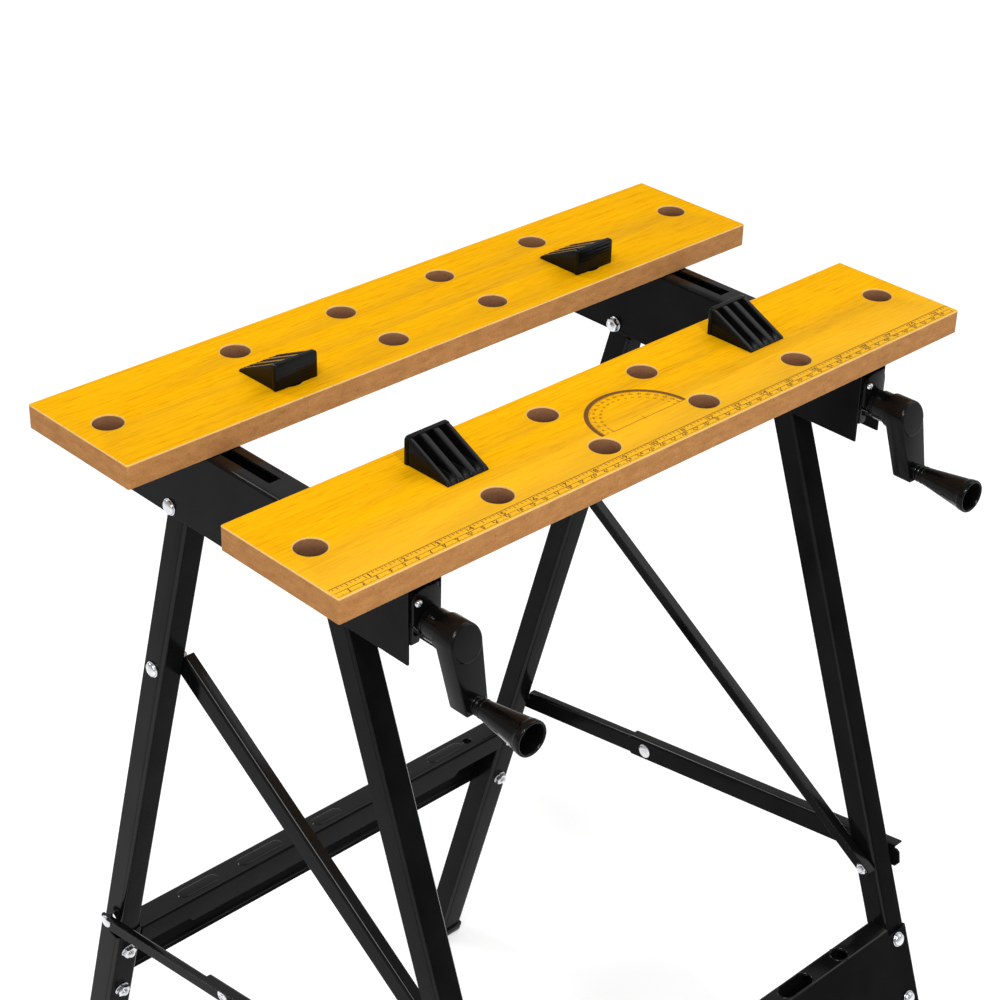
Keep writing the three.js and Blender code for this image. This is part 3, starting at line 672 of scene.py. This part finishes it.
def protractor():
    sh = Shape()
    cx, cy = PROTRACTOR
    r1, r0 = 38.2, 35.3
    n = 72
    for i in range(n):
        a, b = math.pi * i / n, math.pi * (i + 1) / n
        ink_poly(sh, [(cx + r * math.cos(t), cy + r * math.sin(t)) for r, t in ((r0, a), (r1, a), (r1, b), (r0, b))], 0)
    for i in range(0, 181, 2):
        a = math.radians(i)
        ln = 2.0 if i % 10 == 0 else 0.9
        ink_line(sh, cx + r0 * math.cos(a), cy + r0 * math.sin(a), cx + (r0 - ln) * math.cos(a), cy + (r0 - ln) * math.sin(a), 0.3, 0)
    for i in range(0, 181, 10):
        a = math.radians(i)
        for r, text, h, m in ((32.0, str(180 - i), 1.75, 2), (27.7, str(i), 1.6, 0)):
            number(sh, text, cx + r * math.cos(a), cy + max(r * math.sin(a), 1.1), h, a - math.pi / 2, m, 0.95)
    ink_line(sh, cx - 27.0, cy, cx + 35.4, cy, 0.5, 1)
    ink_line(sh, cx, cy - 1.6, cx, cy + 3.2, 0.35, 1)
    piece("protractor_print", sh, "top_frame", [INK, LINE_INK, DARK_INK], smooth=20)


rule()
protractor()


# ---------------------------------------------------------------- pegs
def rib_top(v):
    """Height of a rib over the distance v from the peg's axis, towards its clamping face."""
    z = 1.9 + (v + PEG_NOSE) * 0.474
    if v < -PEG_NOSE + 1.4:
        z -= (-PEG_NOSE + 1.4 - v) ** 2 * 0.5
    if v > PEG_FACE - 7:
        z -= (v - PEG_FACE + 7) ** 2 * 0.028
    return min(z, 18.9)


def groove_floor(v):
    z = 3.0 + 0.02 * (v + PEG_NOSE - 4)
    if v > PEG_FACE - 9.5:
        z += (v - PEG_FACE + 9.5) ** 2 * 0.2
    return min(rib_top(v), z)


def peg(side, jaw, x, y, f, body):
    sh = Shape()
    h = PEG_HALF
    ribs = [(-h, -13.25), (-7.55, -2.85), (2.85, 7.55), (13.25, h)]
    cols = []
    for i, (a, b) in enumerate(ribs):
        cols += [(a, 0, -0.5), (a + 0.25, 0, -0.13), (a + 0.65, 0, 0), (b - 0.65, 0, 0), (b - 0.25, 0, -0.13), (b, 0, -0.5)]
        if i < 3:
            nxt = ribs[i + 1][0]
            cols += [(b + 0.3, 1, 0.25), (b + 0.8, 1, 0), (nxt - 0.8, 1, 0), (nxt - 0.3, 1, 0.25)]
    n0, f0 = -PEG_NOSE, PEG_FACE
    vs = [n0 + k for k in (0, 0.2, 0.6, 1.2, 1.8, 2.4, 3.0, 3.6, 4.4, 5.6, 7.2, 9.4, 12, 15, 18, 21, 24)] + [f0 - k for k in (12, 10.6, 9.5, 8.4, 7.4, 6.4, 5.5, 4.7, 4.0, 3.4, 2.4)]
    top = []
    for cx, g, dz in cols:
        line = []
        for v in vs:
            z = groove_floor(v) if g else rib_top(v)
            line.append((x + cx, y + f * v, max(z + (dz if v > n0 + 1 else dz * 0.5), 0.6)))
        top.append(line)
    nv, nc = len(vs), len(cols)
    verts = [p for line in top for p in line] + [(p[0], p[1], 0.3) for line in top for p in line]
    o = nc * nv
    faces = []
    for i in range(nc - 1):
        for j in range(nv - 1):
            q = [i * nv + j, (i + 1) * nv + j, (i + 1) * nv + j + 1, i * nv + j + 1]
            faces.append(q)
            faces.append([o + k for k in q[::-1]])
    for j in range(nv - 1):
        for i in (0, nc - 1):
            faces.append([i * nv + j, i * nv + j + 1, o + i * nv + j + 1, o + i * nv + j])
    for i in range(nc - 1):
        for j in (0, nv - 1):
            faces.append([i * nv + j, (i + 1) * nv + j, o + (i + 1) * nv + j, o + i * nv + j])
    sh.put(verts, faces)
    # rear plate with the clamping face
    outline = soften([(-17.2, 0.3), (17.2, 0.3), (17.2, 19.3), (-17.2, 19.3)], [0.4, 0.4, 3.0, 3.0], 5, True)
    slab(sh, outline, f0 - 3.2, f0, lambda u, w, t: (x + u, y + f * t, w), 0.55, 3)
    # fine teeth of the clamping face
    for k in range(6):
        zc = 3.2 + 2.5 * k
        slab(sh, [(-14.5, zc - 0.55), (14.5, zc - 0.55), (14.5, zc + 0.55), (-14.5, zc + 0.55)], f0 - 0.4, f0 + 0.02, lambda u, w, t: (x + u, y + f * t, w), 0.02, 1)
    # shank: hollow, with a chamfered end
    lathe(sh, [(0.6, 0.0), (0.6, 9.2), (-13.6, 9.2), (-14.9, 8.8), (-15.5, 8.1), (-15.5, 6.8), (-4.0, 6.4), (-4.0, 0.0)], (x, y, 0), (0, 0, 1), 48)
    # two stiffening walls in the shank
    for dx, dy in ((6.6, 0.8), (0.8, 6.6)):
        slab(sh, [(x - dx, y - dy), (x + dx, y - dy), (x + dx, y + dy), (x - dx, y + dy)], -14.6, -3.5, lambda u, w, t: (u, w, t), 0.15, 1)
    piece("peg_%s_%s_wedge" % (jaw, side), sh, body, [PLASTIC], ["peg_%s_%s" % (jaw, side)], smooth=38)


for side, sx in (("left", -1), ("right", 1)):
    peg(side, "front", sx * HOLE_X[1], HOLE_ROW[1], 1, "peg_front_%s_body" % side)
    peg(side, "rear", sx * HOLE_X[1], REAR_BACK - HOLE_ROW[1], -1, "peg_rear_%s_body" % side)


# ---------------------------------------------------------------- cranks, grips, bushes, screws
def arm_back(z):
    return -10.5 + 0.25 * (z + 55)


def arm_front(z):
    return -25.4 + 0.237 * (z + 55)


def crank(side, xc):
    body = "crank_%s_body" % side
    sh = Shape()
    z0 = SCREW_Z
    # arm outline: round head, straight sides, flat foot with small corners
    outline = [(12.0 * math.cos(math.radians(a)), z0 + 12.0 * math.sin(math.radians(a))) for a in range(-4, 185, 6)]
    outline += soften([outline[-1], (-8.6, -91.5), (8.6, -91.5), outline[0]], 1.6, 4)[1:-1]

    def put(u, w, t):
        f = t / 15.0
        return (xc + u, arm_back(w) * (1 - f) + arm_front(w) * f, w)

    slab(sh, outline, 0.0, 15.0, put, 0.8, 3)
    # round face of the hub, a little proud of the arm, with a well rounded rim
    slab(sh, circle(0.0, z0, 12.0, 72), 12.0, 15.7, put, 1.7, 6, b0=0)
    # stepped hub
    hub = soften([(0.0, 5.2), (0.0, 9.2), (5.0, 9.2), (5.0, 10.4), (15.0, 10.6), (15.0, 12.0), (24.0, 12.0)], [0, 0.7, 0.35, 0.9, 0.35, 0.9, 0], 4)
    lathe(sh, hub, (xc, 8.2, z0), (0, -1, 0), 72)
    for k in range(3):
        lathe(sh, [(1.1 + 1.3 * k, 8.8), (1.1 + 1.3 * k, 9.42), (1.6 + 1.3 * k, 9.42), (1.6 + 1.3 * k, 8.8)], (xc, 8.2, z0), (0, -1, 0), 56)
    # stub and its head inside the grip
    lathe(sh, [(0.0, 4.0), (36.0, 4.0), (36.4, 5.6), (36.8, 6.0), (38.6, 6.0), (39.0, 5.4)], (xc, -24, GRIP_Z), (0, -1, 0), 32)
    # collar on the arm at the grip's root
    y_root = arm_front(GRIP_Z)
    lathe(sh, soften([(-1.0, 5.5), (1.0, 5.5), (1.6, 4.6)], 0.5, 3), (xc, y_root, GRIP_Z), (0, -1, 0), 40)
    piece("crank_%s_lever" % side, sh, body, [PLASTIC], ["crank_arm_" + side], smooth=36)

    g = Shape()
    ln = GRIP_BACK - GRIP_FRONT
    prof = [(0.0, 4.5), (0.0, 5.6), (0.5, 6.1), (1.5, 6.2), (2.1, 5.6), (3.0, 5.6), (3.5, 6.2), (5.0, 6.4), (5.6, 6.1), (6.6, 6.3), (12.0, 7.0), (18.0, 7.9), (24.0, 8.75), (30.0, 9.65),
            (36.0, 10.55), (38.6, 10.95), (39.0, 11.3), (ln - 1.3, 11.6), (ln - 0.4, 11.4), (ln, 10.9), (ln, 10.2), (ln - 0.6, 9.6), (ln - 2.0, 9.3), (30.0, 8.5), (27.4, 7.9), (26.8, 7.0), (26.8, 4.5)]
    prof = soften(prof, 0.35, 2)
    seg = 72
    verts, faces = [], []
    for t, r in prof:
        for i in range(seg):
            c = 2 * math.pi * i / seg
            d = 0.0
            if r > 6.5 and 22.0 < t < 37.5 and r > 8.3 + (t - 22.0) * 0.13:
                # two long shallow flats near the mouth
                for mid in (math.radians(208), math.radians(28)):
                    off = math.atan2(math.sin(c - mid), math.cos(c - mid)) / math.radians(24)
                    if abs(off) < 1:
                        d = 0.55 * (1 - off * off) * min(1.0, (t - 22.0) / 2.0, (37.5 - t) / 2.0)
            verts.append((xc + (r - d) * math.cos(c), GRIP_BACK - t, GRIP_Z + (r - d) * math.sin(c)))
    k = len(prof)
    for i in range(k):
        n = (i + 1) % k
        for j in range(seg):
            q = (j + 1) % seg
            faces.append([i * seg + j, i * seg + q, n * seg + q, n * seg + j])
    g.put(verts, faces)
    # fine ribs inside the mouth
    for i in range(12):
        c = 2 * math.pi * (i + 0.5) / 12
        ca, sa = math.cos(c), math.sin(c)
        rings = []
        for t, r in ((27.6, 8.1), (33.0, 8.75), (ln - 2.4, 9.25)):
            rings.append([(xc + (r + dr) * ca - w * sa, GRIP_BACK - t, GRIP_Z + (r + dr) * sa + w * ca) for w, dr in ((-0.45, 0.25), (0.45, 0.25), (0.25, -0.5), (-0.25, -0.5))])
        loft(g, rings)
    piece("grip_%s_handle" % side, g, "grip_%s_body" % side, [PLASTIC], ["grip_" + side], smooth=36)

    # clamp screw: plain neck, collar, thread with the lead of the drive
    s = Shape()
    lathe(s, soften([(0.0, 3.6), (0.6, 4.5), (34.4, 4.5), (34.4, 7.5), (40.0, 7.5), (40.0, 3.7), (279.2, 3.7), (281.0, 2.6)], [0, 0.2, 0.1, 0.5, 0.5, 0.1, 0.2, 0], 2), (xc, -6, z0), (0, 1, 0), 32)
    thread(s, (xc, -6, z0), (0, 1, 0), 3.7, 4.5, 5.0, 44.0, 278.0, 20)
    piece("clamp_thread_%s" % side, s, body, [ZINC], ["clamp_screw_" + side], smooth=36)


def bush(side, xc):
    sh = Shape()
    plate = soften([(-11.3, -50), (9.3, -50), (9.3, -26), (-11.3, -26)], [1.5, 1.5, 8.5, 8.5], 6, True)

    def put(u, w, t):
        return (xc + u, t, w)

    slab(sh, plate, 11.7, 8.6, put, 0.5, 2)
    # boss round the screw and the ring that the hub runs against
    lathe(sh, soften([(0.0, 5.0), (0.0, 8.4), (19.4, 8.4), (19.4, 5.0)], 0.4, 2, True), (xc, 8.6, SCREW_Z), (0, 1, 0), 48, closed=True)
    # body in the rail
    slab(sh, soften([(-10.9, -46), (10.9, -46), (10.9, -28), (-10.9, -28)], 1.2, 2, True), 11.4, 28.0, put, 0.6, 2)
    # side arms with a lug at their lower end
    for k in (-1, 1):
        arm = [(k * 8.7, -40), (k * 10.9, -40), (k * 10.9, -64), (k * 3.6, -64), (k * 3.6, -59.4), (k * 8.7, -57.4)]
        slab(sh, soften(arm, [0.1, 0.1, 1.0, 1.8, 1.4, 0.8], 3, True), 18.0, 11.6, put, 0.6, 3)
    piece("bush_%s_moulding" % side, sh, "top_frame", [PLASTIC], ["bush_" + side], smooth=36)
    # pan-head screw with a cross recess
    s = Shape()
    p = (xc - 8.3, 8.3, -34.0)
    lathe(s, [(0.0, 2.4), (0.7, 2.4), (1.3, 2.1), (1.7, 1.5), (1.9, 0.8), (1.92, 0.0)], p, (0, -1, 0), 32)
    lathe(s, [(0.1, 1.3), (-11.0, 1.3), (-12.1, 0.0)], p, (0, -1, 0), 16)
    for a, b in ((1.3, 0.3), (0.3, 1.3)):
        slab(s, [(p[0] - a, p[2] - b), (p[0] + a, p[2] - b), (p[0] + a, p[2] + b), (p[0] - a, p[2] + b)], 6.9, 6.34, lambda u, w, t: (u, t, w), 0.1, 1)
    piece("bush_%s_panhead" % side, s, "top_frame", [ZINC], ["bush_screw_" + side], smooth=36)


for side, sx in (("left", -1), ("right", 1)):
    crank(side, sx * SIDE_X)
    bush(side, sx * SIDE_X)


# ---------------------------------------------------------------- feet
def foot(name, leg, s1, xc, body, node):
    sh = Shape()
    out = rounded_box(-13.5, 13.5, -3.5, 21.5, 3.2, 4)
    n = len(out)

    def perp(pts, s):
        return [leg.at(xc + x, s, d) for x, d in pts]

    def level(pts, z):
        return [leg.at(xc + x, leg.s(z, d), d) for x, d in pts]

    low = min(leg.s(-HEIGHT, -3.5), leg.s(-HEIGHT, 21.5))
    # rim, recess line, body and sole
    rings = [perp(inset(out, 0.9), s1 + 0.3), perp(inset(out, 0.25), s1 + 0.45), perp(out, s1 + 0.9), perp(out, s1 + 3.0), perp(inset(out, 0.7), s1 + 3.5),
             perp(inset(out, 0.7), s1 + 4.1), perp(inset(out, 0.15), s1 + 4.7)]
    rings += [level(inset(out, 0.1), -HEIGHT + 1.4), level(inset(out, 0.35), -HEIGHT + 0.5), level(inset(out, 0.9), -HEIGHT)]
    loft(sh, rings)
    # plug in the leg's end
    slab(sh, rounded_box(-9.6, 9.6, 0.4, 16, 1.6, 3), s1 - 16, s1 + 1.0, lambda u, w, t: leg.at(xc + u, t, w), 0.4, 2)
    piece(name, sh, body, [PLASTIC], [node], smooth=36)


for side, sx in (("left", -1), ("right", 1)):
    foot("foot_front_%s_cap" % side, F, FRONT_END, sx * SIDE_X, "front_frame", "front_foot_" + side)
    foot("foot_rear_%s_cap" % side, R, REAR_END, sx * SIDE_X, "rear_frame", "rear_foot_" + side)


# ---------------------------------------------------------------- fasteners
def dome(r, h, n=7):
    """Profile of a domed head from its seat to its crown."""
    return [(0.0, r)] + [(h * (0.25 + 0.75 * math.sin(math.pi / 2 * i / n)), r * math.cos(math.pi / 2 * i / n)) for i in range(n)] + [(h, 0.0)]


def washer(sh, o, a, r, t, bore=3.0):
    lathe(sh, soften([(0.0, bore), (0.0, r), (t, r), (t, bore)], 0.18, 1, True), o, a, 40, closed=True)


def bolt_end(sh, o, a, r, t0, t1, pitch=1.0):
    """The threaded end of a bolt beyond its nut."""
    lathe(sh, [(t0, r - 0.45), (t1 - 0.5, r - 0.45), (t1, r - 1.0)], o, a, 20)
    thread(sh, o, a, r - 0.45, r, pitch, t0, t1 - 0.1, 16)


def step_bolt(side, i, xc, s):
    sh = Shape()
    o = F.at(xc, s, 0)
    out = (0, -F.n[0], -F.n[1])
    washer(sh, F.at(xc, s, -3.45), out, 5.6, 0.8)
    lathe(sh, [(t, r) for t, r in dome(5.0, 2.9)], F.at(xc, s, -4.1), out, 40)
    lathe(sh, [(-9.0, 2.9), (4.2, 2.9)], o, out, 20)
    hexagon(sh, o, out, 7.8, -7.0, -3.1)
    bolt_end(sh, o, (0, F.n[0], F.n[1]), 2.9, 6.5, 9.5)
    piece("step_bolt_%s_%s_head" % (side, i), sh, "front_frame", [ZINC], ["step_bolt_%s_%s" % (side, i)], smooth=36)


def cross_bolt(side, i, xc, s, k):
    sh = Shape()
    o = R.at(xc, s, 0)
    front = (0, -R.n[0], -R.n[1])
    back = (0, R.n[0], R.n[1])
    washer(sh, R.at(xc, s, -1.75), front, 5.9, 0.8)
    hexagon(sh, o, front, 9.6, 2.5, 6.1, turn=0.35 + 0.6 * k)
    lathe(sh, [(-22.0, 2.9), (3.0, 2.9)], o, front, 20)
    bolt_end(sh, o, front, 2.9, 5.6, 8.5)
    washer(sh, R.at(xc, s, 21.1), back, 6.2, 0.8)
    lathe(sh, dome(5.4, 2.8), R.at(xc, s, 21.8), back, 40)
    piece("cross_bolt_%s_%s_set" % (side, i), sh, "rear_frame", [ZINC], ["cross_rail_bolt_%s_%s" % (side, i)], smooth=36)


def pin(name, p, sx, body, node, head, shank, foot, kind="hex"):
    """A bolt or rivet along X. head and foot: (where it sits, radius, height), in |X|; shank: its ends."""
    sh = Shape()
    out, inn = (sx, 0, 0), (-sx, 0, 0)

    def o(x):
        return (sx * x, p[0], p[1])

    if kind == "hex":
        washer(sh, o(head[0] - 0.1), out, head[1] + 0.7, 0.7)
        lathe(sh, dome(head[1], head[2] - 0.5), o(head[0] + 0.5), out, 40)
        washer(sh, o(foot[0] + 0.1), inn, foot[1] + 0.5, 0.7)
        hexagon(sh, o(foot[0]), inn, foot[1] * 1.8, 0.55, foot[2])
        if shank[1] < foot[0] - foot[2]:
            bolt_end(sh, o(foot[0]), inn, 2.95, foot[2] - 0.4, foot[0] - shank[1])
    else:
        r, h = head[1], head[2]
        if kind == "ringed":
            lathe(sh, soften([(0.0, r), (h * 0.7, r), (h, r - 0.6), (h, r - 1.5), (h * 0.55, r - 1.9), (h * 0.55, 1.3), (h * 0.95, 0.9), (h * 0.95, 0.0)], 0.25, 2), o(head[0]), out, 48)
        else:
            lathe(sh, dome(r, h), o(head[0]), out, 40)
        lathe(sh, soften([(0.0, foot[1]), (foot[2] * 0.5, foot[1]), (foot[2], foot[1] * 0.7)], 0.3, 2) + [(foot[2], 0.0)], o(foot[0]), inn, 36)
    lathe(sh, [(0.0, 2.95), (head[0] - foot[0] + 0.6, 2.95)], o(head[0] + 0.3), inn, 24)
    piece(name, sh, body, [ZINC], [node] if node else [], smooth=36)


for side, sx in (("left", -1), ("right", 1)):
    xc = sx * SIDE_X
    for i, s in zip(("upper", "lower"), STEP_BOLTS):
        step_bolt(side, i, sx * STEP_BOLT_X, s)
    for k, (i, s) in enumerate(zip(("upper", "lower"), CROSS_BOLTS)):
        cross_bolt(side, i, xc, s, k)
    pin("pivot_front_%s_bolt" % side, PA, sx, "front_frame", "front_pivot_bolt_" + side, (217.3, 5.2, 3.2), (220, 184.8), (190.7, 5.2, 3.9))
    pin("pivot_rear_%s_bolt" % side, PB, sx, "top_frame", "rear_pivot_bolt_" + side, (217.3, 5.2, 3.2), (220, 184.8), (190.7, 5.2, 3.9))
    pin("brace_%s_top_bolt" % side, PC, sx, "rear_frame", "brace_bolt_" + side, (214.3, 5.2, 3.2), (217, 186), (191.8, 5.0, 3.8))
    # the stay's bolt: domed head outside, nut between stay and leg, end inside the leg
    sh = Shape()
    washer(sh, (sx * 218.4, *PE), (sx, 0, 0), 6.2, 0.7)
    lathe(sh, dome(5.2, 2.4), (sx * 219.0, *PE), (sx, 0, 0), 40)
    washer(sh, (sx * 216.2, *PE), (-sx, 0, 0), 5.0, 1.8)
    lathe(sh, [(0.0, 2.95), (24.4, 2.95), (25.0, 2.4)], (sx * 219.3, *PE), (-sx, 0, 0), 24)
    piece("stay_%s_front_bolt" % side, sh, "front_frame", [ZINC], ["stay_bolt_" + side], smooth=36)
    # nut and bolt end on the brace's lower end
    sh = Shape()
    washer(sh, (sx * 192.15, *PE), (-sx, 0, 0), 4.7, 0.7)
    hexagon(sh, (sx * 192.15, *PE), (-sx, 0, 0), 7.8, 0.6, 4.2, turn=0.2)
    bolt_end(sh, (sx * 192.15, *PE), (-sx, 0, 0), 2.95, 3.6, 6.4)
    piece("brace_%s_low_nut" % side, sh, "brace_pair", [ZINC], smooth=36)
    pin("stay_%s_rear_rivet_set" % side, PG, sx, "rear_stays", "stay_rear_rivet_" + side, (220.2, 5.0, 2.4), (222, 216), (218.5, 4.5, 2.0), "rivet")
    pin("stay_%s_mid_rivet_set" % side, PM, sx, "front_stays", "stay_mid_rivet_" + side, (220.2, 4.8, 1.8), (221, 215), (216.5, 6.0, 1.2), "ringed")


# ---------------------------------------------------------------- pressed details of the sheet-metal pieces
def obround(cx, cy, half, r, n=10):
    out = []
    for sgn, a0 in ((1, -90), (-1, 90)):
        for i in range(n + 1):
            a = math.radians(a0 + 180 * i / n)
            out.append((cx + sgn * half + r * math.cos(a), cy + r * math.sin(a)))
    return out


def ring_lip(sh, outline, place, w, h, base=0.0, m=0):
    """A closed raised lip that follows an outline, w wide and h high."""
    prof = [(0.0, base - 0.3), (0.0, base + h * 0.6), (w * 0.25, base + h), (w * 0.6, base + h * 0.85), (w, base + 0.02), (w, base - 0.3)]
    rings = [[place(u, v, t) for u, v in inset(outline, -o)] for o, t in prof]
    k = len(outline)
    verts = [p for r in rings for p in r]
    faces = []
    for i in range(len(rings)):
        n = (i + 1) % len(rings)
        for j in range(k):
            q = (j + 1) % k
            faces.append([i * k + j, i * k + q, n * k + q, n * k + j])
    sh.put(verts, faces, m)


def bar_bead(sh, length, place, w, h, m=0, n=5, taper=3.0):
    """A long pressed bead with rounded section and run-out ends."""
    stations = [(-length / 2, 0.02), (-length / 2 + taper * 0.4, 0.55), (-length / 2 + taper, 1.0), (length / 2 - taper, 1.0), (length / 2 - taper * 0.4, 0.55), (length / 2, 0.02)]
    rings = []
    for x, f in stations:
        ring = [(x, w / 2 * (0.4 + 0.6 * f) * math.cos(math.pi * i / n), h * f * math.sin(math.pi * i / n)) for i in range(n + 1)]
        ring += [(x, -w / 2 * 0.6, -0.3), (x, w / 2 * 0.6, -0.3)]
        rings.append([place(*p) for p in ring])
    loft(sh, rings, m)


def step_details():
    sh = Shape()
    # turned-up rims of the openings in the level tread
    for x, half in ((-144, 0), (144, 0), (-94, 9.5), (94, 9.5), (-36, 9.5), (36, 9.5)):
        ring_lip(sh, obround(x, TREAD_MID, half, 6.5), lambda u, v, t: (u, v, TREAD_Z + t), 0.8, 0.45)
    piece("step_plate_pressings", sh, "front_frame", [PAINT], smooth=40)


def cross_details():
    sh = Shape()
    edge = R.at(0, CROSS_TOP, -1.5)
    ca, sa = math.cos(math.radians(CROSS_TILT)), math.sin(math.radians(CROSS_TILT))

    def flange(u, v, t):
        """A point v behind the top flange's front edge and t over it."""
        return (u, edge[1] + v * ca + t * sa, edge[2] - v * sa + t * ca)

    # raised obround pads
    for x, half in ((-131.2, 19.2), (-69.6, 21.9), (0, 14.5), (69.6, 21.9), (131.2, 19.2)):
        out = obround(x, 11.6, half - 5.6, 5.6)
        rings = [(out, -0.3), (out, 0.1), (inset(out, 0.7), 0.62), (inset(out, 1.7), 0.75)]
        loft(sh, [[flange(u, v, t) for u, v in pts] for pts, t in rings])
    ring_lip(sh, circle(157, 11.6, 3.8, 28), flange, 0.9, 0.4)
    # bead along the lower edge of the rear web, both sides
    bar_bead(sh, 372, lambda a, b, c: R.at(a, CROSS_TOP + 81 + b, 19.4 - c), 3.4, 1.5)
    bar_bead(sh, 372, lambda a, b, c: R.at(a, CROSS_TOP + 81 + b, 20.9 + c), 3.0, 0.5)
    piece("cross_rail_pressings", sh, "rear_frame", [PAINT], smooth=40)


step_details()
cross_details()


# ---------------------------------------------------------------- finish of the CAD nodes that stay visible
# painted shade: a copy of the paint for the cross rail, whose upright faces deep behind the front lip lose their
# reflection
web = [row(R.at(0, CROSS_TOP, d)) for d in (0, 1, 12, 17)]
web_axis = (web[1] - web[0]).normalized()
SHADED_WEB_PAINT = paint_material("black_powder_coat_shaded_web", (web_axis, web[2].dot(web_axis), web[3].dot(web_axis)))
by_slot = {"black_paint": PAINT, "black_plastic": PLASTIC, "zinc_steel": ZINC, "laminate_board": LAMINATE}
slot_of = {s["node"]: s["material_slot"] for s in frame["record"]["subparts"]}
for name, ob in nodes.items():
    ob.data.materials.clear()
    ob.data.materials.append(SHADED_WEB_PAINT if name == "rear_cross_rail" else by_slot[slot_of[name]])
    if ob.hide_render:
        continue
    w = ob.modifiers.new("weld", "WELD")
    w.merge_threshold = 0.000002
    b = ob.modifiers.new("edges", "BEVEL")
    b.width = 0.00038
    b.segments = 2
    b.limit_method = "ANGLE"
    b.angle_limit = math.radians(38)
    b.use_clamp_overlap = True
    b.harden_normals = False
    ob.data.polygons.foreach_set("use_smooth", [True] * len(ob.data.polygons))
    n = ob.modifiers.new("normals", "WEIGHTED_NORMAL")
    n.mode = "FACE_AREA"
    n.weight = 80
    n.keep_sharp = False


# ---------------------------------------------------------------- floor, light, camera
def plane(name, size, z):
    me = bpy.data.meshes.new(name)
    k = 24
    vs = [((i / k - 0.5) * size, (j / k - 0.5) * size, z) for i in range(k + 1) for j in range(k + 1)]
    fs = [[i * (k + 1) + j, (i + 1) * (k + 1) + j, (i + 1) * (k + 1) + j + 1, i * (k + 1) + j + 1] for i in range(k) for j in range(k)]
    me.from_pydata(vs, [], fs)
    ob = bpy.data.objects.new(name, me)
    scene.collection.objects.link(ob)
    return ob


floor = plane("studio_floor", 24.0, -0.0005)
floor.data.materials.append(floor_material())

world = bpy.data.worlds.new("studio")
scene.world = world
world.use_nodes = True
bg = world.node_tree.nodes["Background"]
bg.inputs["Color"].default_value = (1.0, 1.0, 1.0, 1)
bg.inputs["Strength"].default_value = 0.39


def softbox(name, place, target, size, power, tint=(1, 1, 1)):
    li = bpy.data.lights.new(name, "AREA")
    li.shape = "RECTANGLE"
    li.size, li.size_y = size
    li.energy = power
    li.color = tint
    ob = bpy.data.objects.new(name, li)
    ob.location = place
    ob.rotation_euler = (Vector(target) - Vector(place)).to_track_quat("-Z", "Y").to_euler()
    scene.collection.objects.link(ob)
    return ob


softbox("key", (-1.6, -0.9, 3.0), (0, 0, 0.6), (1.2, 1.2), 40)
softbox("front", (-0.87, -2.5, 2.45), (0, -0.1, 0.6), (0.3, 0.3), 30)
softbox("fill", (2.4, -1.9, 1.9), (0, 0, 0.5), (2.0, 2.0), 14)
softbox("back", (-1.2, 2.8, 2.6), (0, 0, 0.5), (1.3, 0.8), 24)
softbox("top", (1.75, -0.05, 2.85), (0, -0.05, 0.7), (1.8, 1.8), 13)

cam = bpy.data.cameras.new("photo_view")
cam.lens = 81.976
cam.sensor_width = 36.0
cam.clip_start, cam.clip_end = 0.05, 60
cam.dof.use_dof = False
camera = bpy.data.objects.new("photo_view", cam)
right = Vector((0.7252552568922295, -0.6880982062454352, 0.022927514300514706))
up = Vector((0.3321268391342974, 0.3788438455589827, 0.8638108030169231))
back = Vector((-0.6030726117780896, -0.6188684829944855, 0.5032943727871964))
place = row((-938.04705493, -800.72783406, 667.66052013))
camera.matrix_world = Matrix(((right.x, up.x, back.x, place.x), (right.y, up.y, back.y, place.y), (right.z, up.z, back.z, place.z), (0, 0, 0, 1)))
scene.collection.objects.link(camera)
scene.camera = camera

scene.view_settings.view_transform = "Standard"
scene.view_settings.look = "None"
